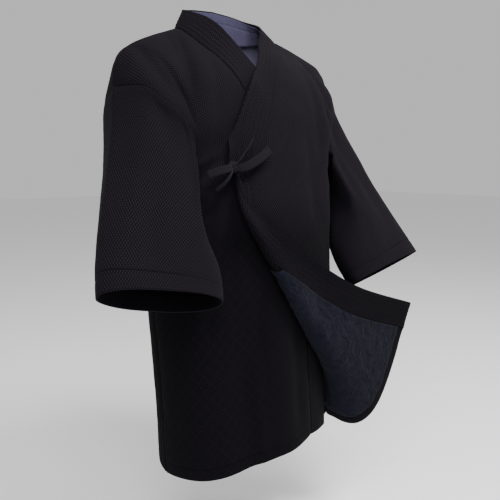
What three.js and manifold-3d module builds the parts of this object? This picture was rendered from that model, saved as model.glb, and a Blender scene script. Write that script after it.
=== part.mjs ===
// Kendo jacket in its worn form with nobody in it, and the lower corner of the outer front turned back.
// Millimetres, +Z up. The jacket faces -Y, and +X is its left side. The origin is between the two
// points where the collar meets the shoulders, which is where a wearer carries it.
import * as THREE from "three";
import Module from "manifold-3d";

// Driving sizes
const CLOTH = 2.4; // sashiko cotton of body and sleeves
const BAND = 4.2; // collar band, folded double
const LINER = 1.0; // inner cotton
const TAPE = 1.6; // chest tie
const SEAM = 0.3; // gap between pieces that are sewn together
const BAND_WIDTH = 52;
const HEM = -768; // mean level of the hem
const HEM_DEPTH = 16; // height of the lowest row, which is the hem that the lining leaves bare
const UNDERARM = -285;
const LAPEL_LIFT = 9; // how far the outer front lies outside the inner front
const LEFT_SLUMP = 6; // the left shoulder sags this much more
const SLIT = 95; // open length of the side seam above the hem
const SLIT_GAP = 1.2;

// How many cells each stretch of the cloth is divided into
const CELLS = {
  skirt: 15, // hem to underarm
  armhole: 8, // underarm to shoulder fold, front and back alike
  across: 12, // side to front edge
  left: 21, // the same on the outer front, where the fold crosses one column in each row
  sleeve: 10,
  band: 4,
};

const YOKE = { rows: 6, from: 2, clear: 1 }; // rows of the back, first column, clear of the band
const LINING_CLEAR = 0.2; // from the band seam
const NECK_LINING = { frontRows: 1, seam: 1, edge: 2, stand: 0.8 }; // clear of the seam, edge and band
const SLEEVE_CLEAR = 10; // between sleeve and body
const UNDER_GAP = 1; // further off at the underarm point

const vec = (x, y, z) => new THREE.Vector3(x, y, z);
const mix = (a, b, t) => a + (b - a) * t;
const ease = (from, to, at) => THREE.MathUtils.smoothstep(at, from, to);

// The shoulder fold, and the neck slope inside it, by distance from the middle
const SHOULDER = [
  { out: 0, y: 22, z: 16 },
  { out: 40, y: 22, z: 13 },
  { out: 75, y: 21, z: 7 },
  { out: 105, y: 19, z: 0 },
  { out: 150, y: 13, z: -13 },
  { out: 190, y: 8, z: -26 },
  { out: 214, y: 5, z: -39 },
  { out: 231, y: 5, z: -67 },
  { out: 240, y: 5, z: -110 },
];

// Level sections: half width, squareness, and the place of the side line
const GIRTH = [
  { z: 60, half: 262, square: 2.2, side: 5, sway: 0 },
  { z: -48, half: 256, square: 2.2, side: 5, sway: 0 },
  { z: -108, half: 243, square: 2.2, side: 5, sway: 0 },
  { z: -155, half: 228, square: 2.2, side: 4, sway: 0 },
  { z: -208, half: 211, square: 2.2, side: 0, sway: 1 },
  { z: -285, half: 186, square: 2.2, side: -6, sway: 0 },
  { z: -400, half: 183, square: 2.15, side: -15, sway: 0 },
  { z: -490, half: 184, square: 2.1, side: -18, sway: 3 },
  { z: -620, half: 180, square: 2.1, side: -22, sway: 7 },
  { z: -790, half: 176, square: 2.1, side: -25, sway: 10 },
];

// How far the cloth stands from the side line, by depth below the shoulder fold
const STAND = [
  { below: 0, front: 0, back: 0 },
  { below: 4, front: 15, back: 18 },
  { below: 10, front: 26, back: 30 },
  { below: 20, front: 40, back: 44 },
  { below: 38, front: 58, back: 58 },
  { below: 58, front: 80, back: 70 },
  { below: 97, front: 108, back: 82 },
  { below: 131, front: 121, back: 88 },
  { below: 170, front: 130, back: 93 },
  { below: 288, front: 136, back: 101 },
  { below: 440, front: 131, back: 103 },
  { below: 640, front: 127, back: 95 },
  { below: 830, front: 128, back: 91 },
];

// Level of the hem round each half, from the middle (0) to the side (1)
const HEM_LINE = [
  { round: -0.75, front: -694, back: -752 },
  { round: -0.5, front: -712, back: -752 },
  { round: 0, front: -742, back: -752 },
  { round: 0.5, front: -770, back: -754 },
  { round: 1, front: -778, back: -778 },
];

// Troughs (+) and ridges (-) of the worn cloth, from one end to the other, seen from the front or back
const FOLDS = [
  { face: "front", fromX: -138, fromZ: -8, toX: -160, toZ: -150, wide: 15, deep: 8 },
  { face: "front", fromX: -202, fromZ: -40, toX: -170, toZ: -130, wide: 14, deep: 7 },
  { face: "front", fromX: -112, fromZ: -30, toX: -128, toZ: -190, wide: 18, deep: -3 },
  { face: "front", fromX: 150, fromZ: -45, toX: 146, toZ: -300, wide: 20, deep: 12 },
  { face: "front", fromX: 118, fromZ: -30, toX: 112, toZ: -330, wide: 24, deep: -6 },
  { face: "front", fromX: -95, fromZ: -330, toX: -60, toZ: -800, wide: 34, deep: 9 },
  { face: "front", fromX: -20, fromZ: -420, toX: 20, toZ: -800, wide: 36, deep: -7 },
  { face: "front", fromX: -150, fromZ: -420, toX: -140, toZ: -800, wide: 30, deep: -6 },
  { face: "back", fromX: -150, fromZ: -60, toX: -135, toZ: -360, wide: 24, deep: 8 },
  { face: "back", fromX: 150, fromZ: -60, toX: 135, toZ: -360, wide: 24, deep: 9 },
  { face: "back", fromX: -70, fromZ: -300, toX: -80, toZ: -800, wide: 30, deep: 10 },
  { face: "back", fromX: 60, fromZ: -330, toX: 75, toZ: -800, wide: 28, deep: 11 },
  { face: "back", fromX: 5, fromZ: -420, toX: -5, toZ: -800, wide: 34, deep: -7 },
  { face: "back", fromX: -150, fromZ: -450, toX: -150, toZ: -800, wide: 26, deep: -6 },
  { face: "back", fromX: 145, fromZ: -430, toX: 150, toZ: -800, wide: 26, deep: -6 },
];

// Armhole seam of the wearer's right side, from the underarm over the front to the top
const ARMHOLE_FRONT = [
  { share: 0, x: -186, y: -6, z: -285 },
  { share: 0.22, x: -170, y: -60, z: -260 },
  { share: 0.42, x: -149, y: -97, z: -205 },
  { share: 0.58, x: -164, y: -90, z: -158 },
  { share: 0.72, x: -187, y: -74, z: -131 },
  { share: 0.84, x: -211, y: -47, z: -109 },
  { share: 1, x: -237, y: 6, z: -108 },
];
const ARMHOLE_BACK = [
  { share: 0, x: -186, y: -6, z: -285 },
  { share: 0.28, x: -199, y: 55, z: -240 },
  { share: 0.52, x: -211, y: 80, z: -190 },
  { share: 0.76, x: -227, y: 63, z: -142 },
  { share: 1, x: -237, y: 6, z: -108 },
];

// Band seam on each front, by level: its distance towards the left side
const SEAM_RIGHT = [
  { z: -790, x: 74 },
  { z: -620, x: 62 },
  { z: -450, x: 44 },
  { z: -330, x: 18 },
  { z: -230, x: -14 },
  { z: -150, x: -44 },
  { z: -110, x: -58 },
  { z: -82, x: -70 },
  { z: -51, x: -85 },
  { z: -18, x: -100 },
  { z: 0, x: -105 },
];
const SEAM_LEFT = [
  { z: -300, x: -50 },
  { z: -255, x: -50 },
  { z: -204, x: -46 },
  { z: -184, x: -36 },
  { z: -136, x: -18 },
  { z: -92, x: 3 },
  { z: -65, x: 25 },
  { z: -40, x: 52 },
  { z: -20, x: 79 },
  { z: 0, x: 105 },
];
const NECK_BACK = [
  { out: 105, z: 0 },
  { out: 92, z: -4 },
  { out: 60, z: -7 },
  { out: 0, z: -8 },
];

// Free edge of the band round the neck, by rows of cloth from the shoulder fold: - front, + back
const NECK_EDGE_RIGHT = [
  { step: -6, x: 6, y: -124, z: -124 },
  { step: -5, x: -10, y: -108, z: -93 },
  { step: -4, x: -29, y: -88, z: -60 },
  { step: -3, x: -45, y: -70, z: -31 },
  { step: -2, x: -60, y: -45, z: 0 },
  { step: -1, x: -73, y: -18, z: 19 },
  { step: 0, x: -86, y: 21, z: 33 },
  { step: 1, x: -71, y: 46, z: 40 },
  { step: 2, x: -42, y: 59, z: 46 },
  { step: 3, x: 0, y: 64, z: 49 },
];
const NECK_EDGE_LEFT = [
  { step: -6, x: -68, y: -136, z: -122 },
  { step: -5, x: -48, y: -120, z: -92 },
  { step: -4, x: -20, y: -97.5, z: -66 },
  { step: -3, x: 8, y: -68, z: -40 },
  { step: -2, x: 34, y: -34, z: -16 },
  { step: -1, x: 60, y: -8, z: 8 },
  { step: 0, x: 79, y: 21, z: 24 },
  { step: 1, x: 69, y: 46, z: 35 },
  { step: 2, x: 42, y: 59, z: 44 },
  { step: 3, x: 0, y: 64, z: 49 },
];

// Free edge of the outer front: down to the chest tie, then along the corner that is turned back
const LAPEL_EDGE = [
  { share: 0, x: -92, y: -142, z: -256 },
  { share: 0.07, x: -84, y: -148, z: -286 },
  { share: 0.14, x: -66, y: -155, z: -312 },
  { share: 0.22, x: -40, y: -159, z: -335 },
  { share: 0.45, x: 42, y: -171, z: -395 },
  { share: 0.66, x: 122, y: -181, z: -443 },
  { share: 0.79, x: 185, y: -182, z: -469 },
  { share: 1, x: 300, y: -184, z: -505 },
];
// The fold line behind it, from the tie down to the hem
const TURN_LINE = [
  { share: 0, x: -92, z: -256 },
  { share: 0.14, x: -79, z: -317 },
  { share: 0.3, x: -43, z: -389 },
  { share: 0.47, x: -4, z: -465 },
  { share: 0.65, x: 49, z: -546 },
  { share: 0.82, x: 100, z: -625 },
  { share: 1, x: 140, z: -724 },
];

// How the turned corner leaves its fold and hangs from its edge, as shares of its width
const TURNED = { leave: vec(0.7, -0.45, -0.55), belly: 0.4, hang: 0.46, rise: 12, soft: 0.12 };

// The bow lies outside the edge of the band.
const TIE = { place: vec(-100, -142, -231), knot: vec(10, 7, 9), cells: 10 };

// Cuff of the right sleeve
const CUFF = { outer: vec(-348, -147, -417), inner: vec(-158, -166, -453), open: 40 };

// Reads every column of a table at one place of its key column, on a smooth curve through its rows.
function read(table, key, at) {
  const up = table[table.length - 1][key] > table[0][key];
  const rows = up ? table : [...table].reverse();
  const t = Math.min(Math.max(at, rows[0][key]), rows[rows.length - 1][key]);
  let i = 0;
  while (i < rows.length - 2 && rows[i + 1][key] < t) i += 1;
  const [a, b] = [rows[i], rows[i + 1]];
  const [before, after] = [rows[i - 1] ?? a, rows[i + 2] ?? b];
  const span = b[key] - a[key];
  const s = (t - a[key]) / span;
  const found = {};
  for (const name of Object.keys(a)) {
    if (typeof a[name] !== "number") continue;
    const slopeA = ((b[name] - before[name]) / (b[key] - before[key])) * span;
    const slopeB = ((after[name] - a[name]) / (after[key] - a[key])) * span;
    const [s2, s3] = [s * s, s * s * s];
    found[name] =
      a[name] * (2 * s3 - 3 * s2 + 1) + slopeA * (s3 - 2 * s2 + s) +
      b[name] * (3 * s2 - 2 * s3) + slopeB * (s3 - s2);
  }
  return found;
}

// The standing tables are read over the root of the depth, because the shoulder is round.
const STAND_ROOTS = STAND.map((row) => ({ ...row, root: Math.sqrt(row.below) }));
const signedPower = (value, power) => Math.sign(value) * Math.abs(value) ** power;

function foldAt(face, x, z) {
  let depth = 0;
  for (const fold of FOLDS) {
    if (fold.face !== face) continue;
    const along = (z - fold.fromZ) / (fold.toZ - fold.fromZ);
    const middle = mix(fold.fromX, fold.toX, along);
    const ends = ease(-0.12, 0.18, along) * (1 - ease(0.85, 1.15, along));
    depth += fold.deep * ends * Math.exp(-(((x - middle) / fold.wide) ** 2));
  }
  return depth;
}

// A point of the worn body. round is 0 at the middle and 1 at the side, hand is -1 right and 1 left.
function body(face, hand, round, z, out = 0) {
  const girth = read(GIRTH, "z", z);
  const angle = (round * Math.PI) / 2;
  const away = girth.half * signedPower(Math.sin(angle), 2 / girth.square);
  const fore = Math.abs(Math.cos(angle)) ** (2 / girth.square);
  const shoulder = read(SHOULDER, "out", Math.abs(away));
  const below = Math.max(0, shoulder.z - z);
  const side = girth.side + (shoulder.y - 5) * (1 - ease(0, 90, below));
  const stand = read(STAND_ROOTS, "root", Math.sqrt(below))[face];
  const x = girth.sway + hand * away;
  const push = out - foldAt(face, x, z) * Math.min(1, fore * 1.6);
  const [nx, ny] = [away / girth.half, fore * (girth.half / Math.max(stand, 30)) * 0.8];
  const size = Math.hypot(nx, ny) || 1;
  const toward = face === "front" ? -1 : 1;
  return vec(x + (hand * nx * push) / size, side + toward * (stand * fore + (ny * push) / size), z);
}

// The share of a quarter turn at which the body has this distance from its middle.
function roundOf(away, z) {
  const girth = read(GIRTH, "z", z);
  const ratio = Math.min(1, Math.abs(away) / girth.half);
  return (Math.sign(away) * Math.asin(ratio ** (girth.square / 2)) * 2) / Math.PI;
}

const mirrored = (table) => table.map((row) => ({ ...row, x: -row.x }));
const pointOf = (row) => vec(row.x, row.y, row.z);
const armhole = (face, hand, share) => {
  const table = face === "front" ? ARMHOLE_FRONT : ARMHOLE_BACK;
  return pointOf(read(hand < 0 ? table : mirrored(table), "share", share));
};

// Rows of cloth are counted from the shoulder fold: 0 there, armhole rows down to the underarm, then
// skirt rows down to the hem.
const ROWS = CELLS.armhole + CELLS.skirt;
const levelOf = (row) => mix(UNDERARM, HEM, skirtShare(row));

// How far down the skirt a row lies: the rows are even but for the lowest, which is the hem.
function skirtShare(row) {
  const below = Math.max(0, row - CELLS.armhole);
  const last = CELLS.skirt - 1;
  const hemTop = 1 - HEM_DEPTH / (UNDERARM - HEM);
  return below <= last ? (below / last) * hemTop : mix(hemTop, 1, below - last);
}

// Level of the band seam at each row of a front, closer together towards the rounded shoulder.
function seamLevel(row) {
  if (row >= CELLS.armhole) return levelOf(row);
  const share = row / CELLS.armhole;
  return UNDERARM * mix(share, share * share, 0.65);
}

// One row of a body half's front or back, from the side (0) to the inner edge (1).
function rowPoint(face, hand, row, across, lift) {
  const inner = innerEdge(face, hand, row);
  const outer = outerEdge(face, hand, row);
  const round = mix(outer.round, inner.round, across);
  const level = mix(outer.z, inner.z, across);
  const girth = read(GIRTH, "z", level);
  const away = Math.abs(girth.half * signedPower(Math.sin((round * Math.PI) / 2), 2 / girth.square));
  const drop = mix(outer.drop, inner.drop, across);
  const top = read(SHOULDER, "out", away).z - drop;
  const high = 1 - ease(0.3, 1, row / CELLS.armhole);
  const hem = read(HEM_LINE, "round", round)[face] - HEM;
  const low = skirtShare(row);
  const z = mix(level, top, high) + hem * low ** 1.6;
  const rise = ease(0, 4, row); // no lift at the shoulder, where the halves meet behind the neck
  const point = body(face, hand, round, z, lift(round) * rise);
  const start = body(face, hand, outer.round, outer.z + hem * low ** 1.6, lift(outer.round) * rise);
  if (row < CELLS.armhole) point.addScaledVector(outer.point.clone().sub(start), (1 - across) ** 3);
  if (hand > 0) point.z -= LEFT_SLUMP * Math.sin(Math.PI * across) * (1 - ease(0, CELLS.armhole, row));
  return point;
}

function outerEdge(face, hand, row) {
  if (row >= CELLS.armhole) return { round: 1, z: levelOf(row), drop: 0, point: vec(0, 0, 0) };
  const point = armhole(face, hand, 1 - row / CELLS.armhole);
  const girth = read(GIRTH, "z", point.z);
  const away = Math.abs(point.x - girth.sway);
  const drop = read(SHOULDER, "out", away).z - point.z;
  return { round: roundOf(away, point.z), z: point.z, drop, point };
}

// Rows that the back of the neck takes before the middle seam starts
const NECK_ROWS = 3;

function innerEdge(face, hand, row) {
  let x;
  let z;
  if (face === "front") {
    z = seamLevel(row);
    x = hand * read(hand < 0 ? SEAM_RIGHT : SEAM_LEFT, "z", z).x;
  } else if (row <= NECK_ROWS) {
    x = 105 * Math.cos(((row / NECK_ROWS) * Math.PI) / 2);
    z = read(NECK_BACK, "out", x).z;
  } else {
    const share = (row - NECK_ROWS) / (CELLS.armhole - NECK_ROWS);
    x = 0;
    z = row >= CELLS.armhole ? levelOf(row) : mix(-8, UNDERARM, share);
  }
  const girth = read(GIRTH, "z", z);
  const away = face === "front" ? x - hand * girth.sway : x;
  const drop = read(SHOULDER, "out", Math.abs(away)).z - z;
  return { round: roundOf(away, z), z, drop };
}

// The outer front lies further out from where it starts to cover the inner one.
const coverLift = (round) => LAPEL_LIFT * (1 - ease(0.42, 0.66, round));
const noLift = () => 0;

// A row of the turned-back corner: a smooth line from the side seam to the free edge of the band, and
// how much of its length lies beyond the fold.
function flapLine(share) {
  const level = mix(UNDERARM, HEM, share);
  const edge = pointOf(read(LAPEL_EDGE, "share", share));
  const turn = read(TURN_LINE, "share", share);
  const girth = read(GIRTH, "z", turn.z);
  const turnRound = roundOf(turn.x - girth.sway, turn.z);
  const soft = ease(0, 0.16, share); // the fold opens below the tie
  const before = turnRound + TURNED.soft * soft;
  const points = [];
  const count = 30;
  for (let i = 0; i <= count; i += 1) {
    const round = mix(1, before, i / count);
    const hem = (read(HEM_LINE, "round", round).front - HEM) * share ** 1.6;
    const slant = mix(level + hem, turn.z, ease(0, 1, i / count));
    points.push(body("front", 1, round, slant, coverLift(round) + 2 * soft));
  }
  const last = points[count];
  const heading = last.clone().sub(points[count - 1]).normalize();
  const apex = body("front", 1, turnRound, turn.z, LAPEL_LIFT + TURNED.rise * soft);
  const step = last.distanceTo(apex) * 0.5;
  const reach = edge.distanceTo(apex);
  const leave = TURNED.leave.clone().lerp(vec(0.3, -0.9, -0.2), 1 - share).normalize();
  const around = new THREE.CubicBezierCurve3(
    last,
    last.clone().addScaledVector(heading, step),
    apex.clone().addScaledVector(leave, -step * 0.7),
    apex,
  );
  const away = new THREE.CubicBezierCurve3(
    apex,
    apex.clone().addScaledVector(leave, reach * TURNED.belly),
    edge.clone().addScaledVector(fallFrom(share), reach * TURNED.hang),
    edge,
  );
  if (soft > 0) for (let i = 1; i <= 12; i += 1) points.push(around.getPoint(i / 12));
  for (let i = 1; i <= 30; i += 1) points.push(away.getPoint(i / 30));
  const line = new THREE.CatmullRomCurve3(points, false, "centripetal");
  line.arcLengthDivisions = 300;
  return { line, turned: away.getLength() };
}

// The cloth hangs from the free edge, square to it.
function fallFrom(share) {
  const after = pointOf(read(LAPEL_EDGE, "share", Math.min(1, share + 0.02)));
  const before = pointOf(read(LAPEL_EDGE, "share", Math.max(0, share - 0.02)));
  const run = after.sub(before).normalize();
  return vec(0, 0.12, -1).addScaledVector(run, run.z).normalize();
}

// Points of one row from the side to the free edge, with the band seam at column CELLS.left. The fold
// lies on a column: at the free edge in the first row, and one column further in for each row below.
function flapRow(row) {
  const below = row - CELLS.armhole;
  const { line, turned } = flapLine(skirtShare(row));
  const length = line.getLength();
  const all = CELLS.left + CELLS.band;
  const fold = { column: all - below, left: below ? turned : 0 };
  const seam = { column: CELLS.left, left: BAND_WIDTH };
  const stops = [{ column: 0, left: length }, seam, { column: all, left: 0 }];
  if (below < CELLS.band) stops.splice(2, 0, { ...fold, left: Math.min(fold.left, BAND_WIDTH * 0.9) });
  if (below > CELLS.band) stops.splice(1, 0, { ...fold, left: Math.max(fold.left, BAND_WIDTH * 1.1) });
  const points = [];
  for (let column = 0; column <= all; column += 1) {
    let k = 0;
    while (k < stops.length - 2 && stops[k + 1].column < column) k += 1;
    const span = stops[k + 1].column - stops[k].column;
    const part = span ? (column - stops[k].column) / span : 0;
    const left = mix(stops[k].left, stops[k + 1].left, part);
    points.push(line.getPointAt(Math.min(1, Math.max(0, 1 - left / length))));
  }
  return points;
}

// Directions square to a grid of points: into the jacket for its body and band, out of it for sleeves.
// wrap joins the last column to the first. before and after are the neighbour's points across a seam.
function normalsOf(grid, { wrap = false, flip = false, before, after } = {}) {
  const rows = grid.length;
  const columns = grid[0].length;
  const at = (i, j) => {
    const row = Math.min(rows - 1, Math.max(0, i));
    if (wrap) return grid[row][(j + columns) % columns];
    if (j < 0 && before?.[row]) return before[row];
    if (j >= columns && after?.[row]) return after[row];
    return grid[row][Math.min(columns - 1, Math.max(0, j))];
  };
  return grid.map((line, i) =>
    line.map((_, j) => {
      const down = at(i + 1, j).clone().sub(at(i - 1, j));
      const along = at(i, j + 1).clone().sub(at(i, j - 1));
      return down.cross(along).normalize().multiplyScalar(flip ? -1 : 1);
    }),
  );
}

// Closed wall of even thickness, bias outside its grid. crossed tells which rows split their cells the
// other way, and crossedSeam does so for the face along a seam, to match the neighbour's.
function wall(grid, normals, thickness, options = {}) {
  const { wrap = false, flip = false, bias = 0, crossed = () => false, crossedSeam = () => false } = options;
  const rows = grid.length;
  const columns = grid[0].length;
  const positions = [];
  for (const distance of [bias + thickness / 2, bias - thickness / 2]) {
    grid.forEach((line, i) => line.forEach((point, j) => {
      positions.push(...point.clone().addScaledVector(normals[i][j], distance).toArray());
    }));
  }
  const index = (k, i, j) => k * rows * columns + i * columns + (wrap ? (j + columns) % columns : j);
  const faces = [];
  const push = (a, b, c) => faces.push(...(flip ? [a, c, b] : [a, b, c]));
  const quad = (a, b, c, d, other = false) => {
    if (other) [a, b, c, d] = [b, c, d, a]; // starts a corner later
    push(a, b, c);
    push(a, c, d);
  };
  const last = wrap ? columns : columns - 1;
  for (let i = 0; i < rows - 1; i += 1) {
    for (let j = 0; j < last; j += 1) {
      const other = crossed(i);
      quad(index(0, i, j), index(0, i + 1, j), index(0, i + 1, j + 1), index(0, i, j + 1), other);
      quad(index(1, i, j), index(1, i, j + 1), index(1, i + 1, j + 1), index(1, i + 1, j), other);
    }
  }
  for (let j = 0; j < last; j += 1) {
    quad(index(0, 0, j), index(0, 0, j + 1), index(1, 0, j + 1), index(1, 0, j));
    const end = rows - 1;
    quad(index(0, end, j), index(1, end, j), index(1, end, j + 1), index(0, end, j + 1));
  }
  if (!wrap) {
    for (let i = 0; i < rows - 1; i += 1) {
      quad(index(0, i, 0), index(1, i, 0), index(1, i + 1, 0), index(0, i + 1, 0), crossedSeam(i));
      const end = columns - 1;
      quad(index(0, i, end), index(0, i + 1, end), index(1, i + 1, end), index(1, i, end));
    }
  }
  const geometry = new THREE.BufferGeometry();
  geometry.setAttribute("position", new THREE.Float32BufferAttribute(positions, 3));
  geometry.setIndex(faces);
  geometry.computeVertexNormals();
  return geometry;
}

// Moves a row's first or last point back along the row by a gap.
function trim(line, start, end) {
  const pull = (tip, next, gap) => tip.add(next.clone().sub(tip).setLength(gap));
  if (start) pull(line[0], line[1], start);
  if (end) pull(line[line.length - 1], line[line.length - 2], end);
  return line;
}

const range = (count, make) => Array.from({ length: count + 1 }, (_, i) => make(i / count, i));

// Half of the body in one piece of cloth, from the front hem over the shoulder to the back hem.
function bodyGrid(hand) {
  const columns = hand < 0 ? CELLS.across : CELLS.left;
  const grid = [];
  for (let row = ROWS; row >= 0; row -= 1) grid.push(frontRow(hand, row, columns));
  for (let row = 1; row <= ROWS; row += 1) {
    grid.push(range(columns, (across) => rowPoint("back", hand, row, across, noLift)));
  }
  grid.forEach((line, i) => {
    const row = Math.abs(ROWS - i);
    openSlit(line[0], i < ROWS ? -1 : 1, row);
    trim(line, SEAM, SEAM);
  });
  return grid;
}

function frontRow(hand, row, columns) {
  const lift = hand > 0 ? coverLift : noLift;
  if (hand < 0 || row < CELLS.armhole) {
    return range(columns, (across) => rowPoint("front", hand, row, across, lift));
  }
  return flapRow(row).slice(0, columns + 1);
}

// Below its seam the side falls open.
function openSlit(point, toward, row) {
  const above = levelOf(row) - HEM;
  const open = row >= CELLS.armhole ? SEAM + SLIT_GAP * Math.max(0, 1 - above / SLIT) : 0;
  point.y += toward * open;
}

// Sleeve: the armhole seam, then rings that gather into the cuff.
function sleeveGrid(hand) {
  const rim = [];
  for (let k = 0; k < CELLS.armhole; k += 1) rim.push(["front", 1 - k / CELLS.armhole]);
  for (let k = 0; k < CELLS.armhole; k += 1) rim.push(["back", k / CELLS.armhole]);
  const start = rim.map(([face, share]) => armhole(face, -1, share));
  const centre = CUFF.outer.clone().add(CUFF.inner).multiplyScalar(0.5);
  const wide = CUFF.outer.clone().sub(centre);
  const middle = start.reduce((sum, p) => sum.add(p), vec(0, 0, 0)).multiplyScalar(1 / start.length);
  const axis = centre.clone().sub(middle).normalize();
  axis.addScaledVector(wide.clone().normalize(), -axis.dot(wide.clone().normalize())).normalize();
  const deep = axis.clone().cross(wide).normalize();
  if (deep.y > 0) deep.negate();
  const end = rim.map((_, k) => {
    const turn = (k / rim.length) * Math.PI * 2;
    return centre
      .clone()
      .addScaledVector(wide, signedPower(Math.cos(turn), 0.9))
      .addScaledVector(deep, CUFF.open * signedPower(Math.sin(turn), 0.9));
  });
  const grid = range(CELLS.sleeve, (along) =>
    rim.map((_, k) => {
      const turn = (k / rim.length) * Math.PI * 2;
      const length = start[k].distanceTo(end[k]);
      const leave = sleeveLeaving(turn).multiplyScalar(length);
      const arrive = axis.clone().multiplyScalar(length * 0.9);
      const point = hermite(start[k], leave, end[k], arrive, along);
      return point.addScaledVector(sleeveOutward(turn, wide, deep), -sleeveFold(turn, along));
    }),
  );
  grid[0].forEach((point, k) => {
    point.add(grid[1][k].clone().sub(point).setLength(SEAM * 1.5));
    point.x -= underGap(k / rim.length);
  });
  grid.slice(1).forEach((line, i) => {
    const clear = SLEEVE_CLEAR * ease(0, 1.3, i + 1);
    line.forEach((point) => clearOfBody(point, clear));
  });
  if (hand > 0) grid.forEach((line) => line.forEach((p) => p.setX(-p.x)));
  return grid;
}

// The sleeve stands a little further off right under the arm, where its seam meets the side seam.
const underGap = (around) => UNDER_GAP * Math.max(0, -Math.cos(around * Math.PI * 2)) ** 4;

// Moves a point of the right sleeve out of the body's side.
function clearOfBody(point, clear) {
  if (point.z > -215) return;
  const girth = read(GIRTH, "z", point.z);
  const fore = point.y < girth.side ? "front" : "back";
  const below = read(SHOULDER, "out", Math.abs(point.x)).z - point.z;
  const stand = read(STAND_ROOTS, "root", Math.sqrt(Math.max(0, below)))[fore];
  const across = point.x / (girth.half + girth.sway + clear);
  const along = (point.y - girth.side) / (stand + clear);
  const size = (Math.abs(across) ** girth.square + Math.abs(along) ** girth.square) ** (1 / girth.square);
  if (size >= 1) return;
  point.x /= size;
  point.y = girth.side + (point.y - girth.side) / size;
}

function hermite(a, leave, b, arrive, t) {
  const [t2, t3] = [t * t, t * t * t];
  return vec(0, 0, 0)
    .addScaledVector(a, 2 * t3 - 3 * t2 + 1)
    .addScaledVector(leave, t3 - 2 * t2 + t)
    .addScaledVector(b, 3 * t2 - 2 * t3)
    .addScaledVector(arrive, t3 - t2);
}

// Direction in which the sleeve leaves its seam: 0 at the top, a quarter turn at the front.
function sleeveLeaving(turn) {
  const [top, fore] = [Math.cos(turn), Math.sin(turn)];
  const under = Math.max(0, -top);
  return vec(-0.1 + 0.34 * Math.max(0, fore) - 0.9 * under, -0.28 - 0.1 * fore, -0.92 + 0.5 * under)
    .setLength(0.9 - 0.5 * under);
}
const sleeveOutward = (turn, wide, deep) =>
  wide.clone().normalize().multiplyScalar(Math.cos(turn)).addScaledVector(deep, Math.sin(turn));

const SLEEVE_FOLDS = [
  { turn: 1.05, along: 0.2, wide: 0.34, long: 0.2, deep: 9 },
  { turn: 1.75, along: 0.12, wide: 0.3, long: 0.16, deep: 8 },
  { turn: 2.5, along: 0.68, wide: 0.9, long: 0.3, deep: -22 },
  { turn: 4.2, along: 0.25, wide: 0.4, long: 0.25, deep: 8 },
];
function sleeveFold(turn, along) {
  return SLEEVE_FOLDS.reduce((sum, fold) => {
    const around = (turn - fold.turn - (along - fold.along) * 0.8) / fold.wide;
    const down = (along - fold.along) / fold.long;
    return sum + fold.deep * Math.exp(-around * around - down * down) * ease(0, 0.1, along);
  }, 0);
}

// The band: its seam follows the cloth's inner edge, and its free edge the tables above.
function bandGrid() {
  const right = range(ROWS, (_, i) => bandRow("front", -1, ROWS - i)).slice(0, -1);
  const behindRight = range(NECK_ROWS, (_, i) => bandRow("back", -1, i));
  const behindLeft = range(NECK_ROWS, (_, i) => bandRow("back", 1, NECK_ROWS - i)).slice(1);
  const left = range(ROWS, (_, i) => bandRow("front", 1, i)).slice(1);
  return [...right, ...behindRight, ...behindLeft, ...left];
}

function bandRow(face, hand, row) {
  if (face === "front" && hand > 0 && row >= CELLS.armhole) {
    return trim(flapRow(row).slice(CELLS.left), SEAM, 0);
  }
  const lift = hand > 0 && face === "front" ? coverLift : noLift;
  const seam = rowPoint(face, hand, row, 1, lift);
  const edge = bandEdge(face, hand, row, lift);
  const line = range(CELLS.band, (t) => {
    const flat = seam.clone().lerp(edge, t);
    return onBody(flat, face, hand, row, lift);
  });
  return trim(line, SEAM, 0);
}

function bandEdge(face, hand, row, lift) {
  const inner = innerEdge(face, hand, row);
  if (face === "front" && row >= 6) {
    const table = hand < 0 ? SEAM_RIGHT : SEAM_LEFT;
    const slope = (read(table, "z", inner.z - 8).x - read(table, "z", inner.z + 8).x) / 16;
    const girth = read(GIRTH, "z", inner.z);
    const seamX = read(table, "z", inner.z).x;
    const x = seamX - hand * BAND_WIDTH * Math.hypot(1, slope);
    const round = roundOf(hand * (x - girth.sway), inner.z);
    return body(face, hand, round, rowPoint(face, hand, row, 1, lift).z, lift(round));
  }
  const table = hand < 0 ? NECK_EDGE_RIGHT : NECK_EDGE_LEFT;
  return pointOf(read(table, "step", face === "front" ? -row : row));
}

// Keeps the band from sinking into the cloth that it lies on.
function onBody(point, face, hand, row, lift) {
  if (row < 5) return point;
  const girth = read(GIRTH, "z", point.z);
  const round = roundOf(hand * (point.x - girth.sway), point.z);
  const cloth = body(face, hand, round, point.z, lift(round));
  point.y = Math.min(point.y, cloth.y);
  return point;
}

// A flat tape along a curve through its path, turned so that its width follows the given direction.
function tape(path, width, across) {
  const curve = new THREE.CatmullRomCurve3(path.map(pointOf), false, "centripetal");
  const grid = range(TIE.cells, (t) => {
    const middle = curve.getPoint(t);
    const run = curve.getTangent(t);
    const wide = across.clone().addScaledVector(run, -across.dot(run)).normalize();
    return [-0.5, 0, 0.5].map((side) => middle.clone().addScaledVector(wide, side * width));
  });
  return wall(grid, normalsOf(grid), TAPE);
}

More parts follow.
